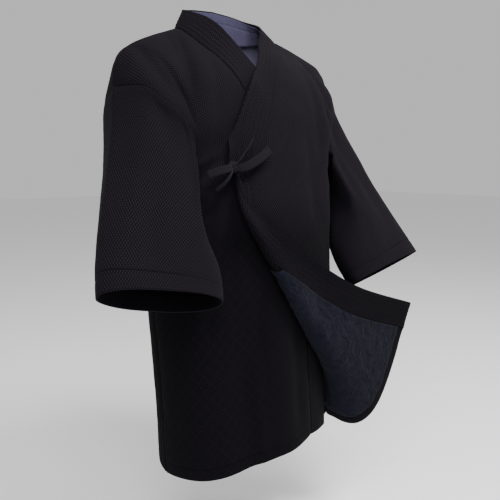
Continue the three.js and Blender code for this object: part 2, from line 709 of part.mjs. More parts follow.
// Bow at the chest, tied on the edge of the band: each tape's path is counted from the knot.
const BOW = {
  loop: {
    width: 12,
    across: vec(0.55, 0.75, 0.1),
    path: [
      { x: 0, y: -3, z: 0 },
      { x: 12, y: -9, z: 14 },
      { x: 26, y: -10, z: 30 },
      { x: 38, y: -8, z: 40 },
    ],
  },
  longEnd: {
    width: 14,
    across: vec(-0.2, 0.1, 1),
    path: [
      { x: 0, y: -4, z: 0 },
      { x: 18, y: -12, z: 2 },
      { x: 42, y: -15, z: 12 },
      { x: 68, y: -14, z: 22 },
    ],
  },
  leftEnd: {
    width: 12,
    across: vec(0.1, 0.2, 1),
    path: [
      { x: 0, y: -2, z: 0 },
      { x: -14, y: -7, z: -2 },
      { x: -32, y: -5, z: -6 },
      { x: -47, y: 2, z: -12 },
    ],
  },
  lowerEnd: {
    width: 11,
    across: vec(0.8, 0, -0.6),
    path: [
      { x: -2, y: -3, z: -3 },
      { x: -10, y: -8, z: -12 },
      { x: -22, y: -9, z: -24 },
      { x: -36, y: -4, z: -36 },
    ],
  },
};

const { Manifold, Mesh } = await (async () => {
  const made = await Module();
  made.setup();
  return made;
})();

function solidOf(geometry) {
  const vertProperties = new Float32Array(geometry.getAttribute("position").array);
  const triVerts = new Uint32Array(geometry.getIndex().array);
  return new Manifold(new Mesh({ numProp: 3, vertProperties, triVerts }));
}

function geometryOf(solid) {
  const mesh = solid.getMesh();
  const positions = [];
  for (let i = 0; i < mesh.numVert; i += 1) {
    positions.push(...mesh.vertProperties.subarray(i * mesh.numProp, i * mesh.numProp + 3));
  }
  const geometry = new THREE.BufferGeometry();
  geometry.setAttribute("position", new THREE.Float32BufferAttribute(positions, 3));
  geometry.setIndex(Array.from(mesh.triVerts));
  geometry.computeVertexNormals();
  return geometry;
}

function bow() {
  const knot = Manifold.sphere(1, 20).scale([TIE.knot.x, TIE.knot.y, TIE.knot.z]).rotate([0, 20, -25]);
  const parts = Object.values(BOW).map((part) => solidOf(tape(part.path, part.width, part.across)));
  const joined = parts.reduce((sum, part) => sum.add(part), knot);
  return geometryOf(joined.translate([TIE.place.x, TIE.place.y, TIE.place.z]));
}

const colours = {
  cloth: { color: 0x1b1a1e, roughness: 0.9, metalness: 0 },
  liner: { color: 0x23263a, roughness: 0.95, metalness: 0 },
  yoke: { color: 0x6f6c86, roughness: 0.95, metalness: 0 },
};

const jacket = new THREE.Group();
function add(name, geometry, finish) {
  const mesh = new THREE.Mesh(geometry, new THREE.MeshStandardMaterial(colours[finish]));
  mesh.name = name;
  jacket.add(mesh);
}

const halves = { right: bodyGrid(-1), left: bodyGrid(1) };
const sleeves = { right: sleeveGrid(-1), left: sleeveGrid(1) };
const band = bandGrid();
const ring = CELLS.armhole * 2;
const lastBand = band.length - 1;
const bandRowOf = { right: (i) => i, left: (i) => lastBand - i };
const bandOut = normalsOf(band);

for (const [side, other, flip] of [["right", "left", false], ["left", "right", true]]) {
  const own = halves[side];
  const sleeve = sleeves[side];
  const rim = (i) => (ring - (i - ROWS)) % ring;
  const atArmhole = (i) => Math.abs(i - ROWS) <= CELLS.armhole;
  const after = own.map((_, i) =>
    i <= ROWS + NECK_ROWS ? band[bandRowOf[side](i)][1] : halves[other][i][halves[other][i].length - 2]);
  const out = normalsOf(own, { flip, after });
  const sleeveOut = normalsOf(sleeve, { wrap: true, flip });
  // Both sides of a seam end on the same slanted face.
  const shared = sleeveOut[0].map((normal, k) => {
    const rows = own.map((_, i) => i).filter((i) => atArmhole(i) && rim(i) === k);
    const mean = normal.clone();
    rows.forEach((i) => mean.addScaledVector(out[i][0], -1 / rows.length));
    return mean.normalize();
  });
  own.forEach((_, i) => {
    if (atArmhole(i)) out[i][0] = shared[rim(i)].clone().negate();
    if (i <= ROWS + NECK_ROWS) bandOut[bandRowOf[side](i)][0] = out[i][out[i].length - 1];
  });
  sleeveOut[0] = shared;
  add(`body_${side}`, wall(own, out, CLOTH, { flip }), "cloth");
  add(`sleeve_${side}`, wall(sleeve, sleeveOut, CLOTH, { wrap: true, flip }), "cloth");
  const inside = (CLOTH + LINER) / 2 + SEAM;
  const yoke = own.slice(ROWS, ROWS + YOKE.rows + 1).map((line, i) => {
    const piece = line.slice(YOKE.from).map((p) => p.clone());
    return trim(piece, 0, i <= NECK_ROWS ? YOKE.clear : 0);
  });
  const yokeOut = out.slice(ROWS, ROWS + YOKE.rows + 1).map((line) => line.slice(YOKE.from));
  add(`yoke_lining_${side}`, wall(yoke, yokeOut, LINER, { flip, bias: inside }), "yoke");
  if (side === "left") {
    const lined = (grid) => grid.slice(1, CELLS.skirt - CELLS.band).map((line) => line.slice(1));
    const lining = lined(own).map((line) => trim(line.map((p) => p.clone()), 0, LINING_CLEAR));
    add("front_lining", wall(lining, lined(out), LINER, { flip, bias: inside }), "liner");
  }
}

// The band is joined at the centre back, where each half ends half a seam from the middle.
const centreBack = lastBand / 2;
function bandHalf(from, hand) {
  const grid = band.slice(from, from + centreBack + 1).map((line) => line.map((p) => p.clone()));
  grid[centreBack - from].forEach((p) => p.setX((hand * SEAM) / 2));
  return grid;
}
const onCorner = (i) => i > centreBack - CELLS.skirt - 1;
const bandLeft = wall(bandHalf(centreBack, 1), bandOut.slice(centreBack), BAND, {
  crossed: onCorner,
  crossedSeam: () => true,
});
add("collar_band_right", wall(bandHalf(0, -1), bandOut.slice(0, centreBack + 1), BAND, {}), "cloth");
add("collar_band_left", bandLeft, "cloth");
add("chest_tie", bow(), "cloth");

// The inside of the band is lined behind the neck.
const neckFrom = ROWS - NECK_LINING.frontRows;
const neckTo = lastBand - neckFrom + 1;
const neck = band.slice(neckFrom, neckTo).map((line) => {
  const piece = line.map((p) => p.clone());
  return trim(piece, NECK_LINING.seam, NECK_LINING.edge);
});
const neckInside = (BAND + LINER) / 2 + NECK_LINING.stand;
add("neck_lining", wall(neck, bandOut.slice(neckFrom, neckTo), LINER, { bias: neckInside }), "yoke");

export default jacket;
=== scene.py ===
import functools
import math

import bmesh
import bpy
from mathutils import Matrix, Vector, noise


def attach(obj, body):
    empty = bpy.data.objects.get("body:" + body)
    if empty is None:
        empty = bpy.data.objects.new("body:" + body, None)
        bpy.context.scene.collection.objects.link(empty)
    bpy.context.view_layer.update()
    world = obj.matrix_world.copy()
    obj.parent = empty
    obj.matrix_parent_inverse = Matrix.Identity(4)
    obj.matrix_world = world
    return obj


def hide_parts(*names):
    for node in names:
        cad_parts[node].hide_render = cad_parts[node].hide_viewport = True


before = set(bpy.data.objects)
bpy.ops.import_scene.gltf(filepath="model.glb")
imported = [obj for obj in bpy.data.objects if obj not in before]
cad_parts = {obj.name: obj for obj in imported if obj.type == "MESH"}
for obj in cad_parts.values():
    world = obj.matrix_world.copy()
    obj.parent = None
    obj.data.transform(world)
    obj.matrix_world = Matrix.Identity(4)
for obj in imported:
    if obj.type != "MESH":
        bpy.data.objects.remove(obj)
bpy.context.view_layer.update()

# A kendo jacket in its worn form with nobody in it. The sizes and the cut are in millimetres, as its
# maker would write them. +Z is up, the jacket faces -Y, and +X is its left side.
MM = 0.001
CLOTH = 2.4  # thickness of the quilted cotton
BAND = 4.2  # of the band, which is doubled
LINER = 1.0  # of the linings
TAPE = 1.6  # and of the tie
SEAM = 0.3  # gap in a seam
SIDE_TOP = 5  # where the shoulder fold ends on the side line, behind the origin
SIDE_FADE = 90  # depth below the shoulder fold where the side line no longer follows it
BAND_WIDTH = 52
BAND_AT_TIE = 33  # what shows of it where the tie gathers it
HEM = -768
HEM_DEPTH = 16
HEM_GROWS = 1.6  # how late the hem's slant sets in on the way down, as a power
UNDERARM = -285
NECK_HALF = 105  # from the middle to the band seam on the shoulder fold
NECK_DROP = -8  # the neck's lowest point at the back
LAPEL_LIFT = 9  # how far the outer front lies off the inner one
COVER_FULL, COVER_END = 0.42, 0.66  # turns between which it comes to lie on the body
LEFT_SLUMP = 6  # how far the left half's cloth sags between the shoulder and the neck
SLIT = 95  # height of the slit at each side
SLIT_GAP = 1.2  # how far each edge stands off at the hem
SLEEVE_CLEAR = 10  # from the sleeve to the body's side
CLEAR_BELOW = -215  # the level under which that holds

# Rows of cloth from the shoulder fold, and columns from the side to the front edge
ARMHOLE_ROWS = 8
SKIRT_ROWS = 15
ROWS = ARMHOLE_ROWS + SKIRT_ROWS
NECK_ROWS = 3
LIFT_ROWS = 4  # rows from the shoulder fold in which the outer front comes off the inner one
SHOULDER_CROWD = 0.65  # how much closer the rows of the band seam lie near the shoulder fold
EDGE_ROWS = 5  # rows whose free edge of the band is in a table below
RIGHT_COLUMNS = 12
LEFT_COLUMNS = 21
BAND_COLUMNS = 4
SLEEVE_ROWS = 10
YOKE_ROWS = 6
YOKE_FIRST_COLUMN = 2
FINE = 6  # cells of the cloth in each of those rows and columns
FINE_BAND = 10  # and in each of the band's columns
FINE_NECK = 18  # and in each row of the band round the neck


def table(columns, *rows):
    """Rows of a table whose columns have these names."""
    return [dict(zip(columns.split(), row)) for row in rows]


# The shoulder fold, and the neck slope inside it, by distance from the middle
SHOULDER = table(
    "out y z",
    (0, 22, 16),
    (40, 22, 13),
    (75, 21, 7),
    (105, 19, 0),
    (150, 13, -13),
    (190, 8, -26),
    (214, 5, -39),
    (231, 5, -67),
    (240, 5, -110),
)
# Level sections: half width, squareness, and the place of the side line
GIRTH = table(
    "z half square side sway",
    (60, 262, 2.2, 5, 0),
    (-48, 256, 2.2, 5, 0),
    (-108, 243, 2.2, 5, 0),
    (-155, 228, 2.2, 4, 0),
    (-208, 211, 2.2, 0, 1),
    (-285, 186, 2.2, -6, 0),
    (-400, 183, 2.15, -15, 0),
    (-490, 184, 2.1, -18, 3),
    (-620, 180, 2.1, -22, 7),
    (-790, 176, 2.1, -25, 10),
)
# How far the cloth stands from the side line, by depth below the shoulder fold
STAND = table(
    "below front back",
    (0, 0, 0),
    (4, 15, 18),
    (10, 26, 30),
    (20, 40, 44),
    (38, 58, 58),
    (58, 80, 70),
    (97, 108, 82),
    (131, 121, 88),
    (170, 130, 93),
    (288, 136, 101),
    (440, 131, 103),
    (640, 127, 95),
    (830, 128, 91),
)
# Level of the hem round each half, from the middle (0) to the side (1)
HEM_LINE = table(
    "round front back",
    (-0.75, -694, -752),
    (-0.5, -712, -752),
    (0, -742, -752),
    (0.5, -770, -754),
    (1, -778, -778),
)
# Troughs (+) and ridges (-) of the worn cloth, from one end to the other: the largest ones first
FOLDS = table(
    "face from_x from_z to_x to_z wide deep",
    ("front", -138, -8, -160, -150, 15, 8),
    ("front", -202, -40, -170, -130, 14, 7),
    ("front", -112, -30, -128, -190, 18, -3),
    ("front", 150, -45, 146, -300, 20, 12),
    ("front", 118, -30, 112, -330, 24, -6),
    ("front", -95, -330, -60, -800, 34, 9),
    ("front", -20, -420, 20, -800, 36, -7),
    ("front", -150, -420, -140, -800, 30, -6),
    ("back", -150, -60, -135, -360, 24, 8),
    ("back", 150, -60, 135, -360, 24, 9),
    ("back", -70, -300, -80, -800, 30, 10),
    ("back", 60, -330, 75, -800, 28, 11),
    ("back", 5, -420, -5, -800, 34, -7),
    ("back", -150, -450, -150, -800, 26, -6),
    ("back", 145, -430, 150, -800, 26, -6),
)
# Smaller creases of the same kind
CREASES = table(
    "face from_x from_z to_x to_z wide deep",
    ("front", -122, -16, -146, -118, 5, 5.0),
    ("front", -150, -22, -158, -110, 7, -2.7),
    ("front", -176, -60, -150, -168, 5, 4.8),
    ("front", -100, -60, -118, -200, 8, 2.4),
    ("front", -84, -160, -140, -262, 9, 3.3),
    ("front", -96, -205, -150, -240, 7, -3.0),
    ("front", -100, -255, -146, -300, 8, 3.9),
    ("front", -96, -280, -120, -420, 12, 4.8),
    ("front", -70, -290, -86, -460, 11, -3.6),
    ("front", -40, -330, -52, -560, 12, 3.3),
    ("front", -110, -238, -152, -290, 9, -8),
    ("front", -98, -258, -138, -322, 10, 8),
    ("front", 152, -60, 151, -290, 6, 8),
    ("front", -128, -300, -132, -520, 13, 3.9),
    ("front", 20, -480, 36, -700, 14, 3.0),
    ("front", -60, -560, -40, -770, 12, -3.0),
    ("front", 165, -60, 176, -190, 7, 6),
    ("front", 134, -60, 128, -240, 8, 3.6),
    ("front", 176, -120, 150, -270, 9, -3.6),
    ("front", 96, -60, 88, -220, 10, 2.7),
    ("front", 60, -180, 70, -330, 13, 2.4),
    ("front", 30, -160, -30, -250, 9, 2.4),
    ("front", 120, -240, 168, -300, 9, 3.9),
    ("back", -172, -90, -176, -230, 9, 3.9),
    ("back", 170, -80, 178, -220, 9, 3.6),
    ("back", -110, -120, -100, -300, 13, 3.0),
    ("back", 104, -150, 96, -330, 13, 3.3),
    ("back", -20, -60, -26, -260, 16, 2.1),
    ("back", -120, -330, -128, -560, 12, 3.9),
    ("back", 112, -300, 124, -540, 12, 3.6),
    ("back", -30, -480, -40, -740, 13, 3.0),
    ("back", 34, -520, 30, -760, 12, -3.0),
)
# Armhole seam of the wearer's right side, from the underarm to the top
ARMHOLE_FRONT = table(
    "share x y z",
    (0, -186, -6, -285),
    (0.22, -170, -60, -260),
    (0.42, -149, -97, -205),
    (0.58, -164, -90, -158),
    (0.72, -187, -74, -131),
    (0.84, -211, -47, -109),
    (1, -237, 6, -108),
)
ARMHOLE_BACK = table(
    "share x y z",
    (0, -186, -6, -285),
    (0.28, -199, 55, -240),
    (0.52, -211, 80, -190),
    (0.76, -227, 63, -142),
    (1, -237, 6, -108),
)
# Band seam on each front, by level: its distance towards the left side
SEAM_RIGHT = table(
    "z x",
    (-790, 74),
    (-620, 62),
    (-450, 44),
    (-330, 18),
    (-230, -14),
    (-150, -44),
    (-110, -58),
    (-82, -70),
    (-51, -85),
    (-18, -100),
    (0, -105),
)
SEAM_LEFT = table(
    "z x",
    (-300, -50),
    (-255, -50),
    (-204, -46),
    (-184, -36),
    (-136, -18),
    (-92, 3),
    (-65, 25),
    (-40, 52),
    (-20, 79),
    (0, 105),
)
NECK_BACK = table("out z", (105, 0), (92, -4), (60, -7), (0, -8))
# Free edge of the band round the neck, by rows from the shoulder fold: - front, + back
NECK_EDGE_RIGHT = table(
    "step x y z",
    (-6, 6, -124, -124),
    (-5, -10, -108, -93),
    (-4, -29, -88, -60),
    (-3, -45, -70, -31),
    (-2, -60, -45, 0),
    (-1, -73, -18, 19),
    (0, -86, 21, 33),
    (1, -71, 46, 40),
    (2, -42, 59, 46),
    (3, 0, 64, 49),
)
NECK_EDGE_LEFT = table(
    "step x y z",
    (-6, -68, -136, -122),
    (-5, -48, -120, -92),
    (-4, -20, -97.5, -66),
    (-3, 8, -68, -40),
    (-2, 34, -34, -16),
    (-1, 60, -8, 8),
    (0, 79, 21, 24),
    (1, 69, 46, 35),
    (2, 42, 59, 44),
    (3, 0, 64, 49),
)
# Free edge of the outer front, from the chest tie along the corner that is turned back
LAPEL_EDGE = table(
    "share x y z",
    (0, -92, -142, -256),
    (0.07, -84, -148, -286),
    (0.14, -66, -155, -312),
    (0.22, -40, -159, -335),
    (0.45, 42, -171, -395),
    (0.66, 122, -181, -443),
    (0.79, 185, -182, -469),
    (1, 300, -184, -505),
)
# The fold line behind it, from the tie down to the hem
TURN_LINE = table(
    "share x z",
    (0, -92, -256),
    (0.14, -79, -317),
    (0.3, -43, -389),
    (0.47, -4, -465),
    (0.65, 49, -546),
    (0.82, 100, -625),
    (1, 140, -724),
)
# How the turned corner leaves its fold and hangs from its edge, as shares of its width
TURNED_LEAVE = Vector((0.7, -0.45, -0.55))
TURNED_BELLY = 0.4
TURNED_HANG = 0.46
TURNED_RISE = 12  # how far the fold stands off the body, in mm
TURNED_SOFT = 0.12  # the turn round the body that it takes to rise
TURNED_FULL = 0.16  # share of the way down the skirt where it is all there
LYING_CELLS = 60  # cells from the side seam to the fold, over it, and on to the edge
BEND_CELLS = 24
BEYOND_CELLS = 60

TIE_PLACE = Vector((-106, -143, -238))
CUFF_OUTER = Vector((-348, -147, -417))
CUFF_INNER = Vector((-158, -166, -453))
CUFF_OPEN = 40
CUFF_SQUARE = 0.9

# Folds of the sleeves, by turn round the arm (0 top, a quarter turn in front) and share of the length
SLEEVE_FOLDS = table(
    "turn along wide long deep",
    (1.05, 0.2, 0.34, 0.2, 9),
    (1.75, 0.12, 0.3, 0.16, 8),
    (2.5, 0.68, 0.9, 0.3, -22),
    (4.2, 0.25, 0.4, 0.25, 8),
)
# Smaller creases of each sleeve
SLEEVE_CREASES = {
    -1: table(
        "turn along wide long deep",
        (0.7, 0.12, 0.14, 0.12, 4.5),
        (1.25, 0.1, 0.12, 0.1, 3.6),
        (1.5, 0.34, 0.16, 0.18, 4.5),
        (0.85, 0.5, 0.22, 0.26, 3.9),
        (1.9, 0.4, 0.16, 0.22, -3.6),
        (1.2, 0.76, 0.2, 0.2, 2.7),
        (2.3, 0.2, 0.16, 0.16, 4.8),
        (0.2, 0.4, 0.3, 0.3, 3.0),
        (5.0, 0.3, 0.2, 0.3, 4.5),
        (5.6, 0.6, 0.24, 0.3, -3.3),
        (4.4, 0.7, 0.2, 0.24, 3.6),
    ),
    1: table(
        "turn along wide long deep",
        (0.9, 0.14, 0.16, 0.12, 5.4),
        (1.4, 0.3, 0.16, 0.2, 5.1),
        (0.6, 0.36, 0.2, 0.2, -3.9),
        (1.1, 0.52, 0.22, 0.24, 4.5),
        (1.9, 0.6, 0.2, 0.2, 3.9),
        (0.2, 0.62, 0.26, 0.24, 3.3),
        (2.3, 0.24, 0.16, 0.16, 4.8),
        (5.2, 0.24, 0.2, 0.3, 4.5),
        (5.7, 0.56, 0.24, 0.3, -3.3),
        (4.3, 0.66, 0.2, 0.24, 3.6),
    ),
}


def mix(a, b, t):
    return a + (b - a) * t


def ease(start, end, at):
    """0 up to the start and 1 from the end, with a soft passage between them."""
    t = min(1.0, max(0.0, (at - start) / (end - start)))
    return t * t * (3 - 2 * t)


def steps(start, end, count):
    """Evenly spaced places from the start to the end, both of them included."""
    return [mix(start, end, i / count) for i in range(count + 1)]


def smooth(rows, key, samples=600):
    """A reader of a table's columns at any place of its key column, on a smooth curve through them."""
    rows = sorted(rows, key=lambda row: row[key])
    places = [row[key] for row in rows]
    names = [name for name in rows[0] if name != key]

    def value(name, at):
        i = 0
        while i < len(rows) - 2 and places[i + 1] < at:
            i += 1
        a, b = rows[i], rows[i + 1]
        before = rows[i - 1] if i else a
        after = rows[i + 2] if i + 2 < len(rows) else b
        span = b[key] - a[key]
        s = (at - a[key]) / span
        slope_a = (b[name] - before[name]) / (b[key] - before[key]) * span
        slope_b = (after[name] - a[name]) / (after[key] - a[key]) * span
        rise = a[name] * (2 * s**3 - 3 * s**2 + 1) + slope_a * (s**3 - 2 * s**2 + s)
        return rise + b[name] * (3 * s**2 - 2 * s**3) + slope_b * (s**3 - s**2)

    low, high = places[0], places[-1]
    steps = {name: [value(name, mix(low, high, i / samples)) for i in range(samples + 1)] for name in names}
    scale = samples / (high - low)

    def read(at, name):
        where = min(samples - 1e-6, max(0.0, (at - low) * scale))
        i = int(where)
        line = steps[name]
        return line[i] + (line[i + 1] - line[i]) * (where - i)

    return read


shoulder = smooth(SHOULDER, "out")
girth = smooth(GIRTH, "z")
stand = smooth([dict(row, root=math.sqrt(row["below"])) for row in STAND], "root")
hem_line = smooth(HEM_LINE, "round")
seam_line = {-1: smooth(SEAM_RIGHT, "z"), 1: smooth(SEAM_LEFT, "z")}
neck_back = smooth(NECK_BACK, "out")
neck_edge = {-1: smooth(NECK_EDGE_RIGHT, "step"), 1: smooth(NECK_EDGE_LEFT, "step")}
armhole_line = {"front": smooth(ARMHOLE_FRONT, "share"), "back": smooth(ARMHOLE_BACK, "share")}
lapel_edge = smooth(LAPEL_EDGE, "share")
turn_line = smooth(TURN_LINE, "share")


def point_of(read, at):
    return Vector((read(at, "x"), read(at, "y"), read(at, "z")))


def signed_power(value, power):
    return math.copysign(abs(value) ** power, value)


FOLD_START = (-0.12, 0.18)  # shares of a fold's length between which it deepens
FOLD_END = (0.85, 1.15)  # and between which it runs out
FOLD_REACH = 3  # widths of a fold past which it is nothing


def fold_at(face, x, z):
    """Depth of the folds and creases at a place of the front or back."""
    depth = 0.0
    for fold in FOLDS + CREASES:
        if fold["face"] != face:
            continue
        along = (z - fold["from_z"]) / (fold["to_z"] - fold["from_z"])
        if not FOLD_START[0] < along < FOLD_END[1]:
            continue
        away = (x - mix(fold["from_x"], fold["to_x"], along)) / fold["wide"]
        if abs(away) > FOLD_REACH:
            continue
        ends = ease(*FOLD_START, along) * (1 - ease(*FOLD_END, along))
        depth += fold["deep"] * ends * math.exp(-away * away)
    return depth


def body(face, hand, turn, z, out=0.0):
    """A point of the worn body. turn is 0 at the middle and 1 at the side, hand is -1 right, 1 left."""
    half = girth(z, "half")
    power = 2 / girth(z, "square")
    angle = turn * math.pi / 2
    away = half * signed_power(math.sin(angle), power)
    fore = abs(math.cos(angle)) ** power
    below = max(0.0, shoulder(abs(away), "z") - z)
    side = girth(z, "side") + (shoulder(abs(away), "y") - SIDE_TOP) * (1 - ease(0, SIDE_FADE, below))
    off = stand(math.sqrt(below), face)
    x = girth(z, "sway") + hand * away
    push = out - fold_at(face, x, z) * min(1, fore * 1.6)
    nx, ny = away / half, fore * half / max(off, 30) * 0.8
    size = math.hypot(nx, ny) or 1
    toward = -1 if face == "front" else 1
    return Vector((x + hand * nx * push / size, side + toward * (off * fore + ny * push / size), z))


def turn_of(away, z):
    """The share of a quarter turn at which the body has this distance from its middle."""
    ratio = min(1, abs(away) / girth(z, "half"))
    return math.copysign(math.asin(ratio ** (girth(z, "square") / 2)), away) * 2 / math.pi


def armhole(face, hand, share):
    point = point_of(armhole_line[face], share)
    return Vector((-hand * point.x, point.y, point.z))


def skirt_share(row):
    """Share of the way from the underarm to the hem. The lowest row is the hem, those above it are even."""
    below = max(0, row - ARMHOLE_ROWS)
    last = SKIRT_ROWS - 1
    hem_top = 1 - HEM_DEPTH / (UNDERARM - HEM)
    return below / last * hem_top if below <= last else mix(hem_top, 1, below - last)


def level_of(row):
    return mix(UNDERARM, HEM, skirt_share(row))


def seam_level(row):
    """Level of the band seam at a row of a front, closer together towards the rounded shoulder."""
    if row >= ARMHOLE_ROWS:
        return level_of(row)
    share = row / ARMHOLE_ROWS
    return UNDERARM * mix(share, share * share, SHOULDER_CROWD)


def cover_lift(turn):
    """The outer front lies further out from where it starts to cover the inner one."""
    return LAPEL_LIFT * (1 - ease(COVER_FULL, COVER_END, turn))


def lift_at(face, hand, turn, row):
    return cover_lift(turn) * ease(0, LIFT_ROWS, row) if face == "front" and hand > 0 else 0.0


@functools.lru_cache(maxsize=None)
def outer_edge(face, hand, row):
    """Turn, level, drop below the shoulder fold, and the armhole's pull on the cloth at a row's side."""
    if row >= ARMHOLE_ROWS:
        return 1, level_of(row), 0, Vector((0, 0, 0))
    point = armhole(face, hand, 1 - row / ARMHOLE_ROWS)
    away = abs(point.x - girth(point.z, "sway"))
    turn = turn_of(away, point.z)
    start = body(face, hand, turn, point.z, lift_at(face, hand, turn, row))
    return turn, point.z, shoulder(away, "z") - point.z, point - start


@functools.lru_cache(maxsize=None)
def inner_edge(face, hand, row):
    """Turn, level and drop below the shoulder fold at a row's inner edge."""
    if face == "front":
        z = seam_level(row)
        away = hand * (seam_line[hand](z, "x") - girth(z, "sway"))
    elif row <= NECK_ROWS:
        away = NECK_HALF * math.cos(row / NECK_ROWS * math.pi / 2)
        z = neck_back(away, "z")
    else:
        away = 0
        share = (row - NECK_ROWS) / (ARMHOLE_ROWS - NECK_ROWS)
        z = level_of(row) if row >= ARMHOLE_ROWS else mix(NECK_DROP, UNDERARM, share)
    return turn_of(away, z), z, shoulder(abs(away), "z") - z


def row_point(face, hand, row, across):
    """One point of a body half's front or back, from the side (0) to the inner edge (1)."""
    in_turn, in_z, in_drop = inner_edge(face, hand, row)
    out_turn, out_z, out_drop, pull = outer_edge(face, hand, row)
    turn = mix(out_turn, in_turn, across)
    level = mix(out_z, in_z, across)
    away = abs(girth(level, "half") * signed_power(math.sin(turn * math.pi / 2), 2 / girth(level, "square")))
    top = shoulder(away, "z") - mix(out_drop, in_drop, across)
    high = 1 - ease(0.3, 1, row / ARMHOLE_ROWS)
    z = mix(level, top, high) + (hem_line(turn, face) - HEM) * skirt_share(row) ** HEM_GROWS
    point = body(face, hand, turn, z, lift_at(face, hand, turn, row))
    if row < ARMHOLE_ROWS:
        point = point + pull * (1 - across) ** 3
    if hand > 0:
        point.z -= LEFT_SLUMP * math.sin(math.pi * across) * (1 - ease(0, ARMHOLE_ROWS, row))
    return point


def lengths(points):
    """Lengths along a line of points, up to each of them."""
    run = [0.0]
    for a, b in zip(points, points[1:]):
        run.append(run[-1] + (b - a).length)
    return run


def bezier(a, b, c, d, t):
    return a * (1 - t) ** 3 + b * 3 * t * (1 - t) ** 2 + c * 3 * t * t * (1 - t) + d * t**3


def fall_from(share):
    """The cloth hangs from the free edge, square to it."""
    run = point_of(lapel_edge, min(1, share + 0.02)) - point_of(lapel_edge, max(0, share - 0.02))
    run.normalize()
    return (Vector((0, 0.12, -1)) + run * run.z).normalized()


@functools.lru_cache(maxsize=None)
def flap_line(share):
    """A row of the turned-back corner, from the side seam to the free edge, and its length past the fold."""
    level = mix(UNDERARM, HEM, share)
    edge = point_of(lapel_edge, share)
    turn_x, turn_z = turn_line(share, "x"), turn_line(share, "z")
    at_turn = turn_of(turn_x - girth(turn_z, "sway"), turn_z)
    soft = ease(0, TURNED_FULL, share)
    before = at_turn + TURNED_SOFT * soft
    points = []
    for across in steps(0, 1, LYING_CELLS):
        turn = mix(1, before, across)
        hem = (hem_line(turn, "front") - HEM) * share**HEM_GROWS
        slant = mix(level + hem, turn_z, ease(0, 1, across))
        points.append(body("front", 1, turn, slant, cover_lift(turn) + 2 * soft))
    last = points[-1]
    heading = (last - points[-2]).normalized()
    apex = body("front", 1, at_turn, turn_z, LAPEL_LIFT + TURNED_RISE * soft)
    step = (last - apex).length * 0.5
    reach = (edge - apex).length
    leave = TURNED_LEAVE.lerp(Vector((0.3, -0.9, -0.2)), 1 - share).normalized()
    if soft > 0:
        before_apex = (last + heading * step, apex - leave * step * 0.7)
        points += [bezier(last, *before_apex, apex, t) for t in steps(0, 1, BEND_CELLS)[1:]]
    after_apex = (apex + leave * reach * TURNED_BELLY, edge + fall_from(share) * reach * TURNED_HANG)
    beyond = [bezier(apex, *after_apex, edge, t) for t in steps(0, 1, BEYOND_CELLS)[1:]]
    turned = sum((b - a).length for a, b in zip([apex] + beyond, beyond))
    return points + beyond, turned


def flap_row(row, columns):
    """Points of one row of the outer front at these columns, counted from the side to the free edge."""
    below = row - ARMHOLE_ROWS
    points, turned = flap_line(skirt_share(row))
    run = lengths(points)
    length = run[-1]
    last = LEFT_COLUMNS + BAND_COLUMNS
    near = min(1, abs(below - BAND_COLUMNS)) * 0.1
    wide = mix(BAND_AT_TIE, BAND_WIDTH, ease(0, BAND_COLUMNS, below))
    stops = [(0, length), (LEFT_COLUMNS, wide), (last, 0)]
    if below < BAND_COLUMNS:
        stops.insert(2, (last - below, min(turned if below else 0, wide * (1 - near))))
    if below > BAND_COLUMNS:
        stops.insert(1, (last - below, max(turned, wide * (1 + near))))
    found = []
    at = 0
    for column in columns:
        k = 0
        while k < len(stops) - 2 and stops[k + 1][0] < column:
            k += 1
        (c0, l0), (c1, l1) = stops[k], stops[k + 1]
        left = mix(l0, l1, (column - c0) / (c1 - c0)) if c1 > c0 else l0
        want = min(length, max(0, length - left))
        while at > 0 and run[at] > want:
            at -= 1
        while at < len(run) - 2 and run[at + 1] < want:
            at += 1
        share = (want - run[at]) / max(1e-9, run[at + 1] - run[at])
        found.append(points[at].lerp(points[at + 1], share))
    return found


def blend_rows(upper, lower, share):
    return [a.lerp(b, share) for a, b in zip(upper, lower)]


def front_row(hand, row, columns):
    """A row of a front at these columns. Between the armhole and the turned corner the row is a blend."""
    last = ARMHOLE_ROWS - 1
    if hand < 0 or row <= last:
        return [row_point("front", hand, row, column / columns[-1]) for column in columns]
    if row >= ARMHOLE_ROWS:
        return flap_row(row, columns)
    upper = [row_point("front", hand, last, column / columns[-1]) for column in columns]
    line = blend_rows(upper, flap_row(ARMHOLE_ROWS, columns), row - last)
    pull = armhole("front", hand, 1 - row / ARMHOLE_ROWS) - line[0]
    return [point + pull * (1 - column / columns[-1]) ** 3 for point, column in zip(line, columns)]


def body_half(hand):
    """Points of half the body in one piece of cloth, from the front hem over the shoulder to the back."""
    columns = steps(0, LEFT_COLUMNS, (LEFT_COLUMNS if hand > 0 else RIGHT_COLUMNS) * FINE)
    grid = [front_row(hand, row, columns) for row in steps(ROWS, 0, ROWS * FINE)]
    for row in steps(0, ROWS, ROWS * FINE)[1:]:
        grid.append([row_point("back", hand, row, column / columns[-1]) for column in columns])
    for i, line in enumerate(grid):
        row = abs(ROWS * FINE - i) / FINE
        if row >= ARMHOLE_ROWS:
            open_share = max(0, 1 - (level_of(row) - HEM) / SLIT)
            toward = -1 if i < ROWS * FINE else 1
            line[0].y += toward * (SEAM + SLIT_GAP * open_share)
    return grid


SLOPE_STEP = 8  # to either side of a level, where the slope of the band seam is read


